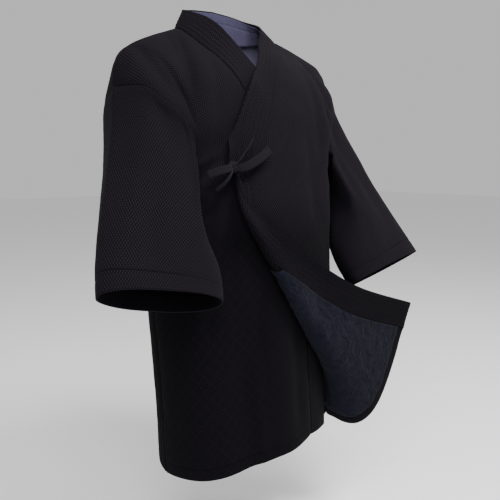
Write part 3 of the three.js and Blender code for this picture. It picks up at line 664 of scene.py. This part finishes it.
def band_edge(face, hand, row):
    """The band's free edge at a row: off a table round the neck, and a band's width from the seam below."""
    around = point_of(neck_edge[hand], -row if face == "front" else row)
    if face == "back" or row <= EDGE_ROWS:
        return around
    z = inner_edge(face, hand, row)[1]
    line = seam_line[hand]
    slope = (line(z - SLOPE_STEP, "x") - line(z + SLOPE_STEP, "x")) / (2 * SLOPE_STEP)
    x = line(z, "x") - hand * BAND_WIDTH * math.hypot(1, slope)
    turn = turn_of(hand * (x - girth(z, "sway")), z)
    level = row_point(face, hand, row, 1).z
    on_front = body(face, hand, turn, level, cover_lift(turn) if hand > 0 else 0)
    return around.lerp(on_front, ease(EDGE_ROWS, EDGE_ROWS + 1, row))


def band_row(face, hand, row, columns):
    """A row of the band, from its seam to its free edge."""
    beyond = [LEFT_COLUMNS + column for column in columns]
    if face == "front" and hand > 0 and row >= ARMHOLE_ROWS:
        return flap_row(row, beyond)
    last = ARMHOLE_ROWS - 1
    if face == "front" and hand > 0 and row > last:
        upper = band_row(face, hand, last, columns)
        return blend_rows(upper, flap_row(ARMHOLE_ROWS, beyond), row - last)
    seam, edge = row_point(face, hand, row, 1), band_edge(face, hand, row)
    line = []
    for column in columns:
        point = seam.lerp(edge, column / columns[-1])
        turn = turn_of(hand * (point.x - girth(point.z, "sway")), point.z)
        lying = body(face, hand, turn, point.z, cover_lift(turn) if hand > 0 and face == "front" else 0)
        if face == "front":
            point.y = mix(point.y, min(point.y, lying.y), ease(EDGE_ROWS - 1, EDGE_ROWS, row))
        line.append(point)
    return line


def band_points():
    """Points of the whole band, from the inner front's hem round the neck to the outer front's."""
    columns = steps(0, BAND_COLUMNS, BAND_COLUMNS * FINE_BAND)
    down, round_neck = steps(ROWS, 0, ROWS * FINE), steps(0, NECK_ROWS, NECK_ROWS * FINE_NECK)
    grid = [band_row("front", -1, row, columns) for row in down[:-1]]
    grid += [band_row("back", -1, row, columns) for row in round_neck]
    grid += [band_row("back", 1, row, columns) for row in reversed(round_neck[:-1])]
    grid += [band_row("front", 1, row, columns) for row in reversed(down[:-1])]
    return grid


def hermite(a, leave, b, arrive, t):
    start = a * (2 * t**3 - 3 * t**2 + 1) + leave * (t**3 - 2 * t**2 + t)
    return start + b * (3 * t**2 - 2 * t**3) + arrive * (t**3 - t**2)


def rim_point(share):
    """The right armhole's seam, all round from the top over the front."""
    return armhole("front", -1, 1 - 2 * share) if share < 0.5 else armhole("back", -1, 2 * share - 1)


def sleeve_leaving(turn):
    """Direction in which the sleeve leaves its seam: 0 at the top, a quarter turn at the front."""
    top, fore = math.cos(turn), math.sin(turn)
    under = max(0, -top)
    x = -0.1 + 0.34 * max(0, fore) - 0.9 * under
    return Vector((x, -0.28 - 0.1 * fore, -0.92 + 0.5 * under)).normalized() * (0.9 - 0.5 * under)


def sleeve_fold(turn, along, folds):
    depth = 0.0
    for fold in folds:
        around = (turn - fold["turn"] - (along - fold["along"]) * 0.8) / fold["wide"]
        down = (along - fold["along"]) / fold["long"]
        depth += fold["deep"] * math.exp(-around * around - down * down) * ease(0, 0.1, along)
    return depth


def clear_of_body(point, clear):
    """Moves a point of the right sleeve out of the body's side."""
    if point.z > CLEAR_BELOW:
        return point
    side = girth(point.z, "side")
    below = max(0, shoulder(abs(point.x), "z") - point.z)
    off = stand(math.sqrt(below), "front" if point.y < side else "back")
    square = girth(point.z, "square")
    across = point.x / (girth(point.z, "half") + girth(point.z, "sway") + clear)
    along = (point.y - side) / (off + clear)
    size = (abs(across) ** square + abs(along) ** square) ** (1 / square)
    if size >= 1:
        return point
    return Vector((point.x / size, side + (point.y - side) / size, point.z))


def sleeve_points(hand, around=128, down=100):
    """Points of a sleeve, from its armhole seam to the cuff."""
    rim = [rim_point(k / 16) for k in range(16)]
    centre = (CUFF_OUTER + CUFF_INNER) / 2
    wide = CUFF_OUTER - centre
    across = wide.normalized()
    axis = (centre - sum(rim, Vector()) / len(rim)).normalized()
    axis = (axis - across * axis.dot(across)).normalized()
    deep = axis.cross(wide).normalized()
    if deep.y > 0:
        deep = -deep
    folds = SLEEVE_FOLDS + SLEEVE_CREASES[hand]
    grid = []
    for i in range(down + 1):
        along = i / down
        line = []
        for k in range(around + 1):
            turn = k / around * 2 * math.pi
            start = rim_point(k / around)
            end = centre + wide * signed_power(math.cos(turn), CUFF_SQUARE)
            end = end + deep * CUFF_OPEN * signed_power(math.sin(turn), CUFF_SQUARE)
            length = (end - start).length
            point = hermite(start, sleeve_leaving(turn) * length, end, axis * length * 0.9, along)
            outward = across * math.cos(turn) + deep * math.sin(turn)
            point = point - outward * sleeve_fold(turn % (2 * math.pi), along, folds)
            point = clear_of_body(point, SLEEVE_CLEAR * ease(0, 1.3, along * SLEEVE_ROWS))
            line.append(Vector((-hand * point.x, point.y, point.z)))
        grid.append(line)
    return grid


def normals_of(grid, wrap=False, inward=False):
    """Directions square to a grid of points, outwards from the garment unless inward."""
    rows, columns = len(grid), len(grid[0])

    def at(i, j):
        if wrap:
            j = j % (columns - 1)
        return grid[min(rows - 1, max(0, i))][min(columns - 1, max(0, j))]

    found = []
    for i in range(rows):
        line = []
        for j in range(columns):
            across = at(i, j + 1) - at(i, j - 1)
            down = at(i + 1, j) - at(i - 1, j)
            line.append(down.cross(across).normalized() * (-1 if inward else 1))
        found.append(line)
    return found


def moved(grid, normals, height):
    """The grid's points moved along their normals by height(i, j), in millimetres."""
    return [
        [point + normals[i][j] * height(i, j) for j, point in enumerate(line)]
        for i, line in enumerate(grid)
    ]


def unevenness(point, seed, coarse=0.8, fine=0.3):
    """Small natural waves of worn cloth, about 45 and 15 mm across."""
    place = point + Vector((seed * 317.0, 0, 0))
    return noise.noise(place / 45) * coarse + noise.noise(place / 15) * fine


def add_object(name, bm):
    """An object at the origin with the shape that bm holds."""
    mesh = bpy.data.meshes.new(name)
    bm.to_mesh(mesh)
    bm.free()
    made = bpy.data.objects.new(name, mesh)
    bpy.context.scene.collection.objects.link(made)
    return made


def cloth_mesh(name, grid, thickness, flip=False, wrap=False, ruler=0.5):
    """A sheet of cloth with its middle through the grid's points, and a UV map in metres of cloth. Down
    the cloth that is measured along one column, at the ruler's share of the width."""
    rows, columns = len(grid) - 1, len(grid[0]) - 1
    bm = bmesh.new()
    bmesh.ops.create_grid(bm, x_segments=columns, y_segments=rows, size=1)
    across = [lengths(line) for line in grid]
    down = lengths([line[round(columns * ruler)] for line in grid])
    spot = {}
    for vert in bm.verts:
        i = round((1 - vert.co.y) / 2 * rows)
        j = round((vert.co.x + 1) / 2 * columns)
        spot[vert] = (across[i][j] * MM, down[i] * MM)
        vert.co = grid[i][j] * MM
    uv = bm.loops.layers.uv.new("cloth")
    for face in bm.faces:
        face.smooth = True
        for loop in face.loops:
            loop[uv].uv = spot[loop.vert]
    if wrap:
        bmesh.ops.remove_doubles(bm, verts=bm.verts, dist=1e-6)
    if flip:
        bmesh.ops.reverse_faces(bm, faces=bm.faces)
    piece = add_object(name, bm)
    wall = piece.modifiers.new("wall", "SOLIDIFY")
    wall.thickness = thickness * MM
    wall.offset = 0.0
    wall.use_rim = True
    return piece


def finish_piece(piece, material, node_name):
    piece.data.materials.append(material)
    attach(piece, "root")
    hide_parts(node_name)


# Looks


def linear(colour):
    """An sRGB hex colour as linear red, green, blue and alpha."""
    parts = [int(colour[i : i + 2], 16) / 255 for i in (1, 3, 5)]
    return [c / 12.92 if c <= 0.04045 else ((c + 0.055) / 1.055) ** 2.4 for c in parts] + [1.0]


def node(tree, kind, settings=None, **links):
    """Adds a node with its settings. Inputs are given values, sockets, or nodes with one main output."""
    made = tree.nodes.new(kind)
    for key, value in (settings or {}).items():
        setattr(made, key, value)
    for key, value in links.items():
        spot = made.inputs[int(key[1:]) if key[0] == "i" and key[1:].isdigit() else key.replace("_", " ")]
        if isinstance(value, bpy.types.Node):
            value = value.outputs[0]
        if isinstance(value, bpy.types.NodeSocket):
            tree.links.new(value, spot)
        else:
            spot.default_value = value
    return made


MATH = "ShaderNodeMath"
ADD = {"operation": "ADD"}
SUBTRACT = {"operation": "SUBTRACT"}
TIMES = {"operation": "MULTIPLY"}
LARGER = {"operation": "MAXIMUM"}
SIZE_OF = {"operation": "ABSOLUTE"}
COLOURS = {"data_type": "RGBA"}


def new_material(name):
    material = bpy.data.materials.new(name)
    material.use_nodes = True
    tree = material.node_tree
    tree.nodes.clear()
    return material, tree


def waves(tree, along, pitch):
    """A cosine wave along a coordinate in metres, with its crests a pitch (mm) apart."""
    turn = node(tree, MATH, TIMES, i0=along, i1=2 * math.pi / (pitch * MM))
    return node(tree, MATH, {"operation": "COSINE"}, i0=turn)


def stitch_lines(tree, along, places, half):
    """1 at these places (mm) of a coordinate in metres, fading to 0 at half a line's width (mm) from them."""
    lines = None
    for place in places:
        offset = node(tree, MATH, SUBTRACT, i0=along, i1=place * MM)
        away = node(tree, MATH, SIZE_OF, i0=offset)
        line = node(tree, "ShaderNodeMapRange", Value=away, i1=half * MM, i2=0.0)
        lines = line if lines is None else node(tree, MATH, LARGER, i0=lines, i1=line)
    return lines


def darkened(tree, colour, lines, share):
    """The colour, darker by this share where the lines are 1."""
    amount = node(tree, MATH, TIMES, i0=lines, i1=share)
    return node(tree, "ShaderNodeMix", COLOURS, i0=amount, i6=colour, i7=(0, 0, 0, 1)).outputs[2]


def cotton_surface(tree, colour, height, strength, depth, roughness, sheen, gloss):
    """Matt cotton fibres with a faint sheen. The weave's height (0 to 1) is a depth in mm."""
    bump = node(tree, "ShaderNodeBump", Strength=strength, Distance=depth * MM, Height=height)
    shader = node(
        tree,
        "ShaderNodeBsdfPrincipled",
        Base_Color=colour,
        Normal=bump,
        Roughness=roughness,
        IOR=1.45,
        Sheen_Weight=sheen,
        Sheen_Roughness=0.5,
        Specular_IOR_Level=gloss,
    )
    node(tree, "ShaderNodeOutputMaterial", Surface=shader)


# Quilted cotton: two layers of black cotton held by a rice-grain stitch. The grains stand proud and
# catch a little light, and the ground between them stays dark, so the colour is painted lighter where the
# cloth stands higher, as a highlight, and darker in the hollows, as painted shade. Below the chest larger
# diamonds are stitched over them, and there the colour is painted darker as shade. The grains are drawn a
# little coarser than they look in the photo, so that they show.
GROUND = "#070508"
# the grains' tops, lighter as a painted highlight
GRAIN_HIGHLIGHT = "#1a171d"
GRAIN_WIDE = 4.2  # across the cloth, from grain to grain
GRAIN_LONG = 6.8  # along the cloth, where every second row of grains is staggered
GRAIN_STRAY = 1.2  # how far the grains stray from their rows
STRAY_LONG = 16.7  # from one stray place to the next
THREAD = 1.43  # lumps of the thick stitching thread
DIAMOND_WIDE = 21.0
DIAMOND_LONG = 26.0
DIAMOND_LINE = 0.09  # half a diamond line's width, as a share of the diamond's
SKIRT_TOP = -280  # level where the diamonds set in
SKIRT_FULL = -360
# how much darker the cloth below the chest is painted, as shade where less light reaches it
SKIRT_PAINTED_SHADE = 0.42


def diamond_lines(tree, across, down):
    """Two slanting sets of ridges that cross in diamonds."""
    columns = node(tree, MATH, TIMES, i0=across, i1=1 / (DIAMOND_WIDE * MM))
    rows = node(tree, MATH, TIMES, i0=down, i1=1 / (DIAMOND_LONG * MM))
    lines = []
    for operation in (ADD, SUBTRACT):
        slant = node(tree, MATH, operation, i0=columns, i1=rows)
        share = node(tree, MATH, {"operation": "FRACT"}, i0=slant)
        offset = node(tree, MATH, SUBTRACT, i0=share, i1=0.5)
        away = node(tree, MATH, SIZE_OF, i0=offset)
        lines.append(node(tree, "ShaderNodeMapRange", Value=away, i1=DIAMOND_LINE, i2=0.0, i3=0.0, i4=0.3))
    return node(tree, MATH, LARGER, i0=lines[0], i1=lines[1])


def quilted_cotton(name, painted_shade_below=False, skirt=False, hems=(), rows=()):
    """Hems are lines of stitches across the cloth and rows are lines along it, in mm from its edges."""
    material, tree = new_material(name)
    cloth = node(tree, "ShaderNodeUVMap", {"uv_map": "cloth"})
    across, down, _ = node(tree, "ShaderNodeSeparateXYZ", Vector=cloth).outputs
    cloud = node(tree, "ShaderNodeTexNoise", Vector=cloth, Scale=1 / (STRAY_LONG * MM), Detail=1.0)
    stray = cloud.outputs["Color"]
    shift = node(tree, "ShaderNodeVectorMath", {"operation": "SCALE"}, i0=stray, Scale=GRAIN_STRAY * MM)
    place = node(tree, "ShaderNodeVectorMath", ADD, i0=cloth, i1=shift)
    wide, long, _ = node(tree, "ShaderNodeSeparateXYZ", Vector=place).outputs
    lattice = node(tree, MATH, TIMES, i0=waves(tree, wide, GRAIN_WIDE), i1=waves(tree, long, GRAIN_LONG))
    rounded = {"interpolation_type": "SMOOTHSTEP"}
    grains = node(tree, "ShaderNodeMapRange", rounded, Value=lattice, i1=-0.15, i2=0.75)
    thread = node(tree, "ShaderNodeTexNoise", Vector=place, Scale=1 / (THREAD * MM), Detail=2.0)
    lumps = node(tree, MATH, TIMES, i0=thread, i1=0.3)
    height = node(tree, MATH, ADD, i0=grains, i1=lumps)
    spot = node(tree, "ShaderNodeTexCoord").outputs["Object"]
    level = node(tree, "ShaderNodeSeparateXYZ", Vector=spot).outputs[2]
    low = node(tree, "ShaderNodeMapRange", Value=level, i1=SKIRT_TOP * MM, i2=SKIRT_FULL * MM)
    if skirt:
        lower = node(tree, MATH, TIMES, i0=height, i1=0.8)
        diamonds = node(tree, MATH, ADD, i0=lower, i1=diamond_lines(tree, wide, long))
        height = node(tree, "ShaderNodeMix", i0=low, i2=height, i3=diamonds)
    # Higher cloth is painted lighter, as a highlight, and the hollows darker, as painted shade.
    colour = node(tree, "ShaderNodeMix", COLOURS, i0=height, i6=linear(GROUND), i7=linear(GRAIN_HIGHLIGHT)).outputs[2]
    # Below the chest the colour is painted darker, as shade where less light reaches.
    if painted_shade_below:
        colour = darkened(tree, colour, low, SKIRT_PAINTED_SHADE)
    for along, places, half, share in ((down, hems, 1.6, 0.6), (across, rows, 0.7, 0.45)):
        if places:
            stitches = stitch_lines(tree, along, places, half)
            colour = darkened(tree, colour, stitches, share)
            height = node(tree, MATH, SUBTRACT, i0=height, i1=stitches)
    cotton_surface(tree, colour, height, strength=0.6, depth=0.9, roughness=0.9, sheen=0.012, gloss=0.03)
    return material


# Plain cotton: a close weave whose threads are too fine to show, so that they are drawn 0.7 mm apart
# instead of about 0.3. It is matt, with a faint mottle from wear and washing.
MOTTLE = 11.1  # from one patch to the next
LINING_CREASES = ((27.8, 1.0), (12.5, 0.5))  # from crease to crease, and how high they are


def plain_cotton(name, dark, light, threads=0.7, creased=0.0):
    """Two fine sets of threads and a mottle. A thin lining also has small creases, whose ridges are painted
    lighter as a highlight.
    """
    material, tree = new_material(name)
    cloth = node(tree, "ShaderNodeUVMap", {"uv_map": "cloth"})
    across, down, _ = node(tree, "ShaderNodeSeparateXYZ", Vector=cloth).outputs
    weave = node(tree, MATH, ADD, i0=waves(tree, across, threads), i1=waves(tree, down, threads))
    mottle = node(tree, "ShaderNodeTexNoise", Vector=cloth, Scale=1 / (MOTTLE * MM), Detail=4.0)
    colour = node(tree, "ShaderNodeMix", COLOURS, i0=mottle, i6=linear(dark), i7=linear(light)).outputs[2]
    ribs = node(tree, MATH, TIMES, i0=weave, i1=0.2)
    height = node(tree, MATH, ADD, i0=ribs, i1=mottle)
    for size, share in LINING_CREASES if creased else ():
        scale = 1 / (size * MM)
        bent = node(tree, "ShaderNodeTexNoise", Vector=cloth, Scale=scale, Detail=2.0, Distortion=0.3)
        offset = node(tree, MATH, SUBTRACT, i0=bent, i1=0.5)
        away = node(tree, MATH, SIZE_OF, i0=offset)
        ridge = node(tree, "ShaderNodeMapRange", Value=away, i1=0.07, i2=0.0)
        raised = node(tree, MATH, TIMES, i0=ridge, i1=creased * share)
        height = node(tree, MATH, ADD, i0=height, i1=raised)
        # The crease ridges are painted lighter, as a highlight where they catch light.
        crease_highlight = node(tree, MATH, TIMES, i0=ridge, i1=min(1.0, creased * 0.1))
        colour = node(tree, "ShaderNodeMix", COLOURS, i0=crease_highlight, i6=colour, i7=linear(light)).outputs[2]
    cotton_surface(tree, colour, height, strength=0.7, depth=0.8, roughness=0.88, sheen=0.02, gloss=0.06)
    return material


# Seams and stitches
SEAM_SINK = 1.3  # how deep a seam draws the cloth in
SEAM_WIDE = 7.0  # and how far from the stitches that shows
SEAM_LINE = 0.5  # from a seamed edge to the dark of its seam
STITCH_SINK = 0.7
HEM_FOLD = 20  # from the hem's edge to its stitches
SLIT_HEM = 9  # and from a slit's
CUFF_FOLD = 26  # and from a cuff's
BAND_STITCHES = 5  # rows of them along the band
BAND_ROWS = [BAND_WIDTH * (k + 1) / (BAND_STITCHES + 1) for k in range(BAND_STITCHES)]

# The band's lower part is painted darker as shade, like the body's.
black_band = quilted_cotton(
    "black quilted cotton of the collar band", painted_shade_below=True, rows=(SEAM_LINE, *BAND_ROWS)
)
# The tie is a firm flat tape, a little lighter than the quilted cotton because it has no dark ground
black_tape = plain_cotton("black cotton tape", "#100e12", "#151317", threads=1.6)
# Quilted to the outer front from behind, the navy lining is crinkled all over
navy_lining = plain_cotton("navy plain cotton lining", "#05050b", "#12131f", creased=3.0)
# The linings at the neck are smooth and matt. Both look alike, and the facing stands in more light, so
# its colour is painted darker, as shade, and the shoulder lining's colour, deep inside, is painted lighter,
# as light.
pale_lining = plain_cotton("lavender grey plain cotton lining", "#6a667f", "#7e7994", creased=0.5)
pale_facing = plain_cotton("lavender grey cotton inside the band", "#37354a", "#444156", creased=0.5)

# Body halves


def seam_dip(distance):
    """How far the cloth sinks at this distance from a seam."""
    return -SEAM_SINK * math.exp(-((distance / SEAM_WIDE) ** 2))


def stitch_dip(distance, wide=1.8):
    """How far it sinks at this distance from a row of stitches."""
    return -STITCH_SINK * math.exp(-((distance / wide) ** 2))


grids = {}  # points of the shaped body halves and the band
outwards = {}  # directions square to them


def make_body(hand, name, node_name):
    grid = body_half(hand)
    normals = normals_of(grid, inward=hand < 0)
    across = [lengths(line) for line in grid]
    down = lengths([line[len(line) // 3] for line in grid])
    shoulder_row = ROWS * FINE

    def height(i, j):
        row = abs(i - shoulder_row) / FINE
        side = across[i][j]
        rise = unevenness(grid[i][j], 2 + hand)
        rise += seam_dip(side) if level_of(row) > HEM + SLIT else stitch_dip(side - SLIT_HEM)
        rise += seam_dip(across[i][-1] - side)
        to_hem = min(down[i], down[-1] - down[i])
        rise += stitch_dip(to_hem - HEM_FOLD, 2.6)
        return rise

    grids[hand] = moved(grid, normals, height)
    outwards[hand] = normals
    piece = cloth_mesh(name, grids[hand], CLOTH, flip=hand < 0)
    length = lengths([line[len(line) // 2] for line in grids[hand]])[-1]
    hems = (HEM_FOLD, length - HEM_FOLD)
    cotton = f"black quilted cotton of the {name}"
    material = quilted_cotton(cotton, painted_shade_below=True, skirt=True, hems=hems)
    finish_piece(piece, material, node_name)


make_body(-1, "right_half", "body_right")
make_body(1, "left_half", "body_left")


def make_sleeve(hand, name, node_name):
    grid = sleeve_points(hand)
    normals = normals_of(grid, wrap=True, inward=hand > 0)
    down = [lengths(column) for column in zip(*grid)]

    def height(i, j):
        k = j % (len(grid[0]) - 1)
        rise = unevenness(grid[i][k], 5 + hand) * ease(0, 20, down[k][i])
        rise += seam_dip(down[k][i])
        rise += stitch_dip(down[k][-1] - down[k][i] - CUFF_FOLD, 2.4)
        return rise

    shaped = moved(grid, normals, height)
    front = 0.25  # share of the way round
    column = round((len(grid[0]) - 1) * front)
    hems = (SEAM_LINE, lengths([line[column] for line in shaped])[-1] - CUFF_FOLD)
    material = quilted_cotton(f"black quilted cotton of the {name}", hems=hems)
    piece = cloth_mesh(name, shaped, CLOTH, flip=hand > 0, wrap=True, ruler=front)
    finish_piece(piece, material, node_name)


make_sleeve(-1, "right_sleeve", "sleeve_right")
make_sleeve(1, "left_sleeve", "sleeve_left")

# Collar band, with parallel rows of stitching along it


def shape_band():
    """The band as it lies, with and without its stitches, and the directions square to it."""
    grid = band_points()
    normals = normals_of(grid, inward=True)

    def height(i, j):
        place = j / (len(grid[0]) - 1) * BAND_WIDTH
        rise = unevenness(grid[i][j], 9, 0.6, 0.25) + seam_dip(place) * 0.6
        return rise + sum(stitch_dip(place - row, 2.0) for row in BAND_ROWS) * 0.6

    grids["band"] = moved(grid, normals, height)
    grids["band unstitched"] = grid
    outwards["band"] = normals


def make_band_half(side, rows, hand):
    """Half the band, from its hem to the join at the centre back."""
    grid = [[point.copy() for point in line] for line in grids["band"][rows]]
    for point in grid[-1 if hand < 0 else 0]:
        point.x = hand * SEAM
    piece = cloth_mesh(f"band_{side}", grid, BAND, flip=True)
    finish_piece(piece, black_band, f"collar_band_{side}")


shape_band()
centre_back = len(grids["band"]) // 2
make_band_half("right", slice(0, centre_back + 1), -1)
make_band_half("left", slice(centre_back, None), 1)

# Linings lie against the inside of the cloth
INSIDE = (CLOTH + LINER) / 2 + SEAM
CRINKLE = 22  # mm of cloth to a crease, about


def crinkle(point):
    """Sharp small creases of a thin lining that is held by quilting."""
    place = point / CRINKLE
    bent = place + noise.noise_vector(place * 0.7) * 0.6
    ridge = 1 - abs(noise.noise(bent + Vector((3.1, 7.7, 1.3)))) * 3.2
    cross = 1 - abs(noise.noise(bent * 2.1 + Vector((11.0, 2.0, 5.0)))) * 3.0
    return max(0, ridge) ** 1.5 * 2.6 + max(0, cross) ** 1.5 * 1.3


def make_lining(name, hand, rows, columns, height):
    """A lining under these rows and columns of a body half, from the first to the last."""
    grid = [line[columns[0] : columns[1] + 1] for line in grids[hand][rows[0] : rows[1] + 1]]
    normals = [line[columns[0] : columns[1] + 1] for line in outwards[hand][rows[0] : rows[1] + 1]]
    lying = moved(grid, normals, lambda i, j: -INSIDE - height(grid[i][j]))
    return cloth_mesh(name, lying, LINER, flip=hand > 0)


front_lining = make_lining(
    "outer_front_lining",
    1,
    (FINE, (SKIRT_ROWS - BAND_COLUMNS - 1) * FINE),
    (FINE, LEFT_COLUMNS * FINE),
    crinkle,
)
finish_piece(front_lining, navy_lining, "front_lining")
for hand, side in ((-1, "right"), (1, "left")):
    last_column = len(grids[hand][0]) - 1
    yoke = make_lining(
        f"shoulder_lining_{side}",
        hand,
        (ROWS * FINE, (ROWS + YOKE_ROWS) * FINE),
        (YOKE_FIRST_COLUMN * FINE, last_column),
        lambda point: max(0, unevenness(point, 4, 0.8, 0.4)),
    )
    finish_piece(yoke, pale_lining, f"yoke_lining_{side}")

# Facing of the band behind the neck, with a seam at the centre back and a stitch line below its edge
NECK_STAND = 1.4  # from the facing to the band
NECK_STITCH = 16  # from its edge to the stitches


def make_neck_facing(name):
    first = (ROWS - 1) * FINE
    band = grids["band unstitched"]
    rows = slice(first, len(band) - first)
    grid = [[line[0] * 3 - line[1] * 2, *line[1:-2]] for line in band[rows]]
    normals = [line[:-2] for line in outwards["band"][rows]]
    across = [lengths(line) for line in grid]
    round_neck = lengths([line[len(line) // 2] for line in grid])
    centre = round_neck[-1] / 2

    def height(i, j):
        rise = -(BAND + LINER) / 2 - NECK_STAND
        rise -= max(0, unevenness(grid[i][j], 12, 1.6, 0.8))
        rise -= stitch_dip(round_neck[i] - centre, 2.2)
        return rise - stitch_dip(across[i][-1] - across[i][j] - NECK_STITCH, 1.8)

    return cloth_mesh(name, moved(grid, normals, height), LINER, flip=True)


finish_piece(make_neck_facing("neck_facing"), pale_facing, "neck_lining")

# Bow at the chest: points are counted from the knot
BOW = {
    "loop": dict(
        width=12,
        across=Vector((0.55, 0.75, 0.1)),
        path=table("x y z", (0, -3, 0), (11, -8, 15), (24, -10, 32), (34, -8, 44)),
    ),
    "long_end": dict(
        width=14,
        across=Vector((-0.2, 0.1, 1)),
        path=table("x y z", (0, -4, -1), (18, -12, 1), (42, -15, 13), (64, -14, 28)),
    ),
    "left_end": dict(
        width=12,
        across=Vector((0.1, 0.2, 1)),
        path=table("x y z", (0, -2, 0), (-14, -7, -2), (-32, -5, -6), (-47, 2, -12)),
    ),
    "lower_end": dict(
        width=11,
        across=Vector((0.55, 0.65, -0.4)),
        path=table("x y z", (-2, -3, -3), (-10, -8, -12), (-22, -9, -24), (-36, -4, -36)),
    ),
}


def along_path(path, share):
    """A point of a smooth curve through the path's points."""
    points = [Vector((row["x"], row["y"], row["z"])) for row in path]
    where = share * (len(points) - 1)
    i = min(len(points) - 2, int(where))
    before, after = points[max(0, i - 1)], points[min(len(points) - 1, i + 2)]
    leave, arrive = (points[i + 1] - before) / 2, (after - points[i]) / 2
    return hermite(points[i], leave, points[i + 1], arrive, where - i)


def make_tape(name, width, across, path, cells=28, cells_wide=6):
    """A flat tape along the path, narrow where it leaves the knot, with a small ripple there."""
    grid = []
    for i in range(cells + 1):
        middle = along_path(path, i / cells)
        run = along_path(path, min(1, i / cells + 0.01)) - along_path(path, max(0, i / cells - 0.01))
        run.normalize()
        wide = (across - run * across.dot(run)).normalized()
        pinch = mix(0.55, 1, ease(0, 0.25, i / cells))
        face = run.cross(wide)
        line = []
        for j in range(cells_wide + 1):
            side = j / cells_wide - 0.5
            ripple = math.sin(side * 7 + i * 0.2) * 0.5 * (1 - ease(0, 0.6, i / cells))
            line.append(TIE_PLACE + middle + wide * side * width * pinch + face * ripple)
        grid.append(line)
    return cloth_mesh(name, grid, TAPE)


KNOT_SIZE = (10, 7, 9)  # half its size each way
KNOT_WRAP = 0.045  # how far the turns of tape stand out, as a share of that


def make_knot(name):
    bm = bmesh.new()
    bmesh.ops.create_uvsphere(bm, u_segments=48, v_segments=32, radius=1)
    turn = Matrix.Rotation(math.radians(-25), 3, "Z") @ Matrix.Rotation(math.radians(20), 3, "Y")
    for vert in bm.verts:
        wrap = math.sin(vert.co.x * 9 + vert.co.z * 3) * KNOT_WRAP
        shape = vert.co * Vector(KNOT_SIZE) * (1 + wrap)
        vert.co = (TIE_PLACE + turn @ shape) * MM
    uv = bm.loops.layers.uv.new("cloth")
    for face in bm.faces:
        face.smooth = True
        for loop in face.loops:
            loop[uv].uv = (loop.vert.co.x, loop.vert.co.z)
    return add_object(name, bm)


finish_piece(make_knot("tie_knot"), black_tape, "chest_tie")
for part, cut in BOW.items():
    tape = make_tape(f"tie_{part}", cut["width"], cut["across"], cut["path"])
    finish_piece(tape, black_tape, "chest_tie")

# Camera at the photograph's angle: turned to the jacket's right side and down
VIEW_TURN = math.radians(-38.5)
VIEW_DOWN = math.radians(7.5)
VIEW_DISTANCE = 1.270
VIEW_SIDE = 0.033
VIEW_LEVEL = -0.395
SENSOR_WIDTH = 36
PHOTO_WIDTH = 500  # pixels
PHOTO_FOCAL = 672  # pixels

back = Vector(
    (
        math.sin(VIEW_TURN) * math.cos(VIEW_DOWN),
        -math.cos(VIEW_TURN) * math.cos(VIEW_DOWN),
        math.sin(VIEW_DOWN),
    )
)
target = Vector((VIEW_SIDE * math.cos(VIEW_TURN), VIEW_SIDE * math.sin(VIEW_TURN), VIEW_LEVEL))
camera_data = bpy.data.cameras.new("camera")
camera_data.lens = SENSOR_WIDTH * PHOTO_FOCAL / PHOTO_WIDTH
camera_data.sensor_width = SENSOR_WIDTH
camera = bpy.data.objects.new("camera", camera_data)
camera.location = target + back * VIEW_DISTANCE
camera.rotation_euler = back.to_track_quat("Z", "Y").to_euler()
bpy.context.scene.collection.objects.link(camera)
bpy.context.scene.camera = camera

# Studio, in metres
FLOOR_LEVEL = -0.95
FLOOR_HALF = 12
LAMP_AIM = Vector((0, 0, -0.4))
STUDIO_LIGHT = 0.62  # from all round


def white_paper():
    """Rolled paper, matt and nearly white."""
    material, tree = new_material("white paper")
    shader = node(tree, "ShaderNodeBsdfPrincipled", Base_Color=linear("#f4f4f4"), Roughness=0.9)
    node(tree, "ShaderNodeOutputMaterial", Surface=shader)
    return material


def add_floor():
    bm = bmesh.new()
    bmesh.ops.create_grid(bm, x_segments=1, y_segments=1, size=FLOOR_HALF)
    for vert in bm.verts:
        vert.co.z = FLOOR_LEVEL
    floor = add_object("floor", bm)
    floor.data.materials.append(white_paper())


def add_light(name, place, size, power):
    data = bpy.data.lights.new(name, "AREA")
    data.size = size
    data.energy = power
    lamp = bpy.data.objects.new(name, data)
    lamp.location = place
    lamp.rotation_euler = (Vector(place) - LAMP_AIM).to_track_quat("Z", "Y").to_euler()
    bpy.context.scene.collection.objects.link(lamp)


add_floor()
add_light("key", (0.2, -1.4, 1.5), 0.8, 80)
add_light("fill", (-1.0, -1.25, 1.0), 1.0, 40)
add_light("rim", (1.8, -0.6, 1.6), 1.0, 26)
world = bpy.data.worlds.new("studio")
bpy.context.scene.world = world
world.use_nodes = True
world.node_tree.nodes["Background"].inputs[0].default_value = (1, 1, 1, 1)
world.node_tree.nodes["Background"].inputs[1].default_value = STUDIO_LIGHT
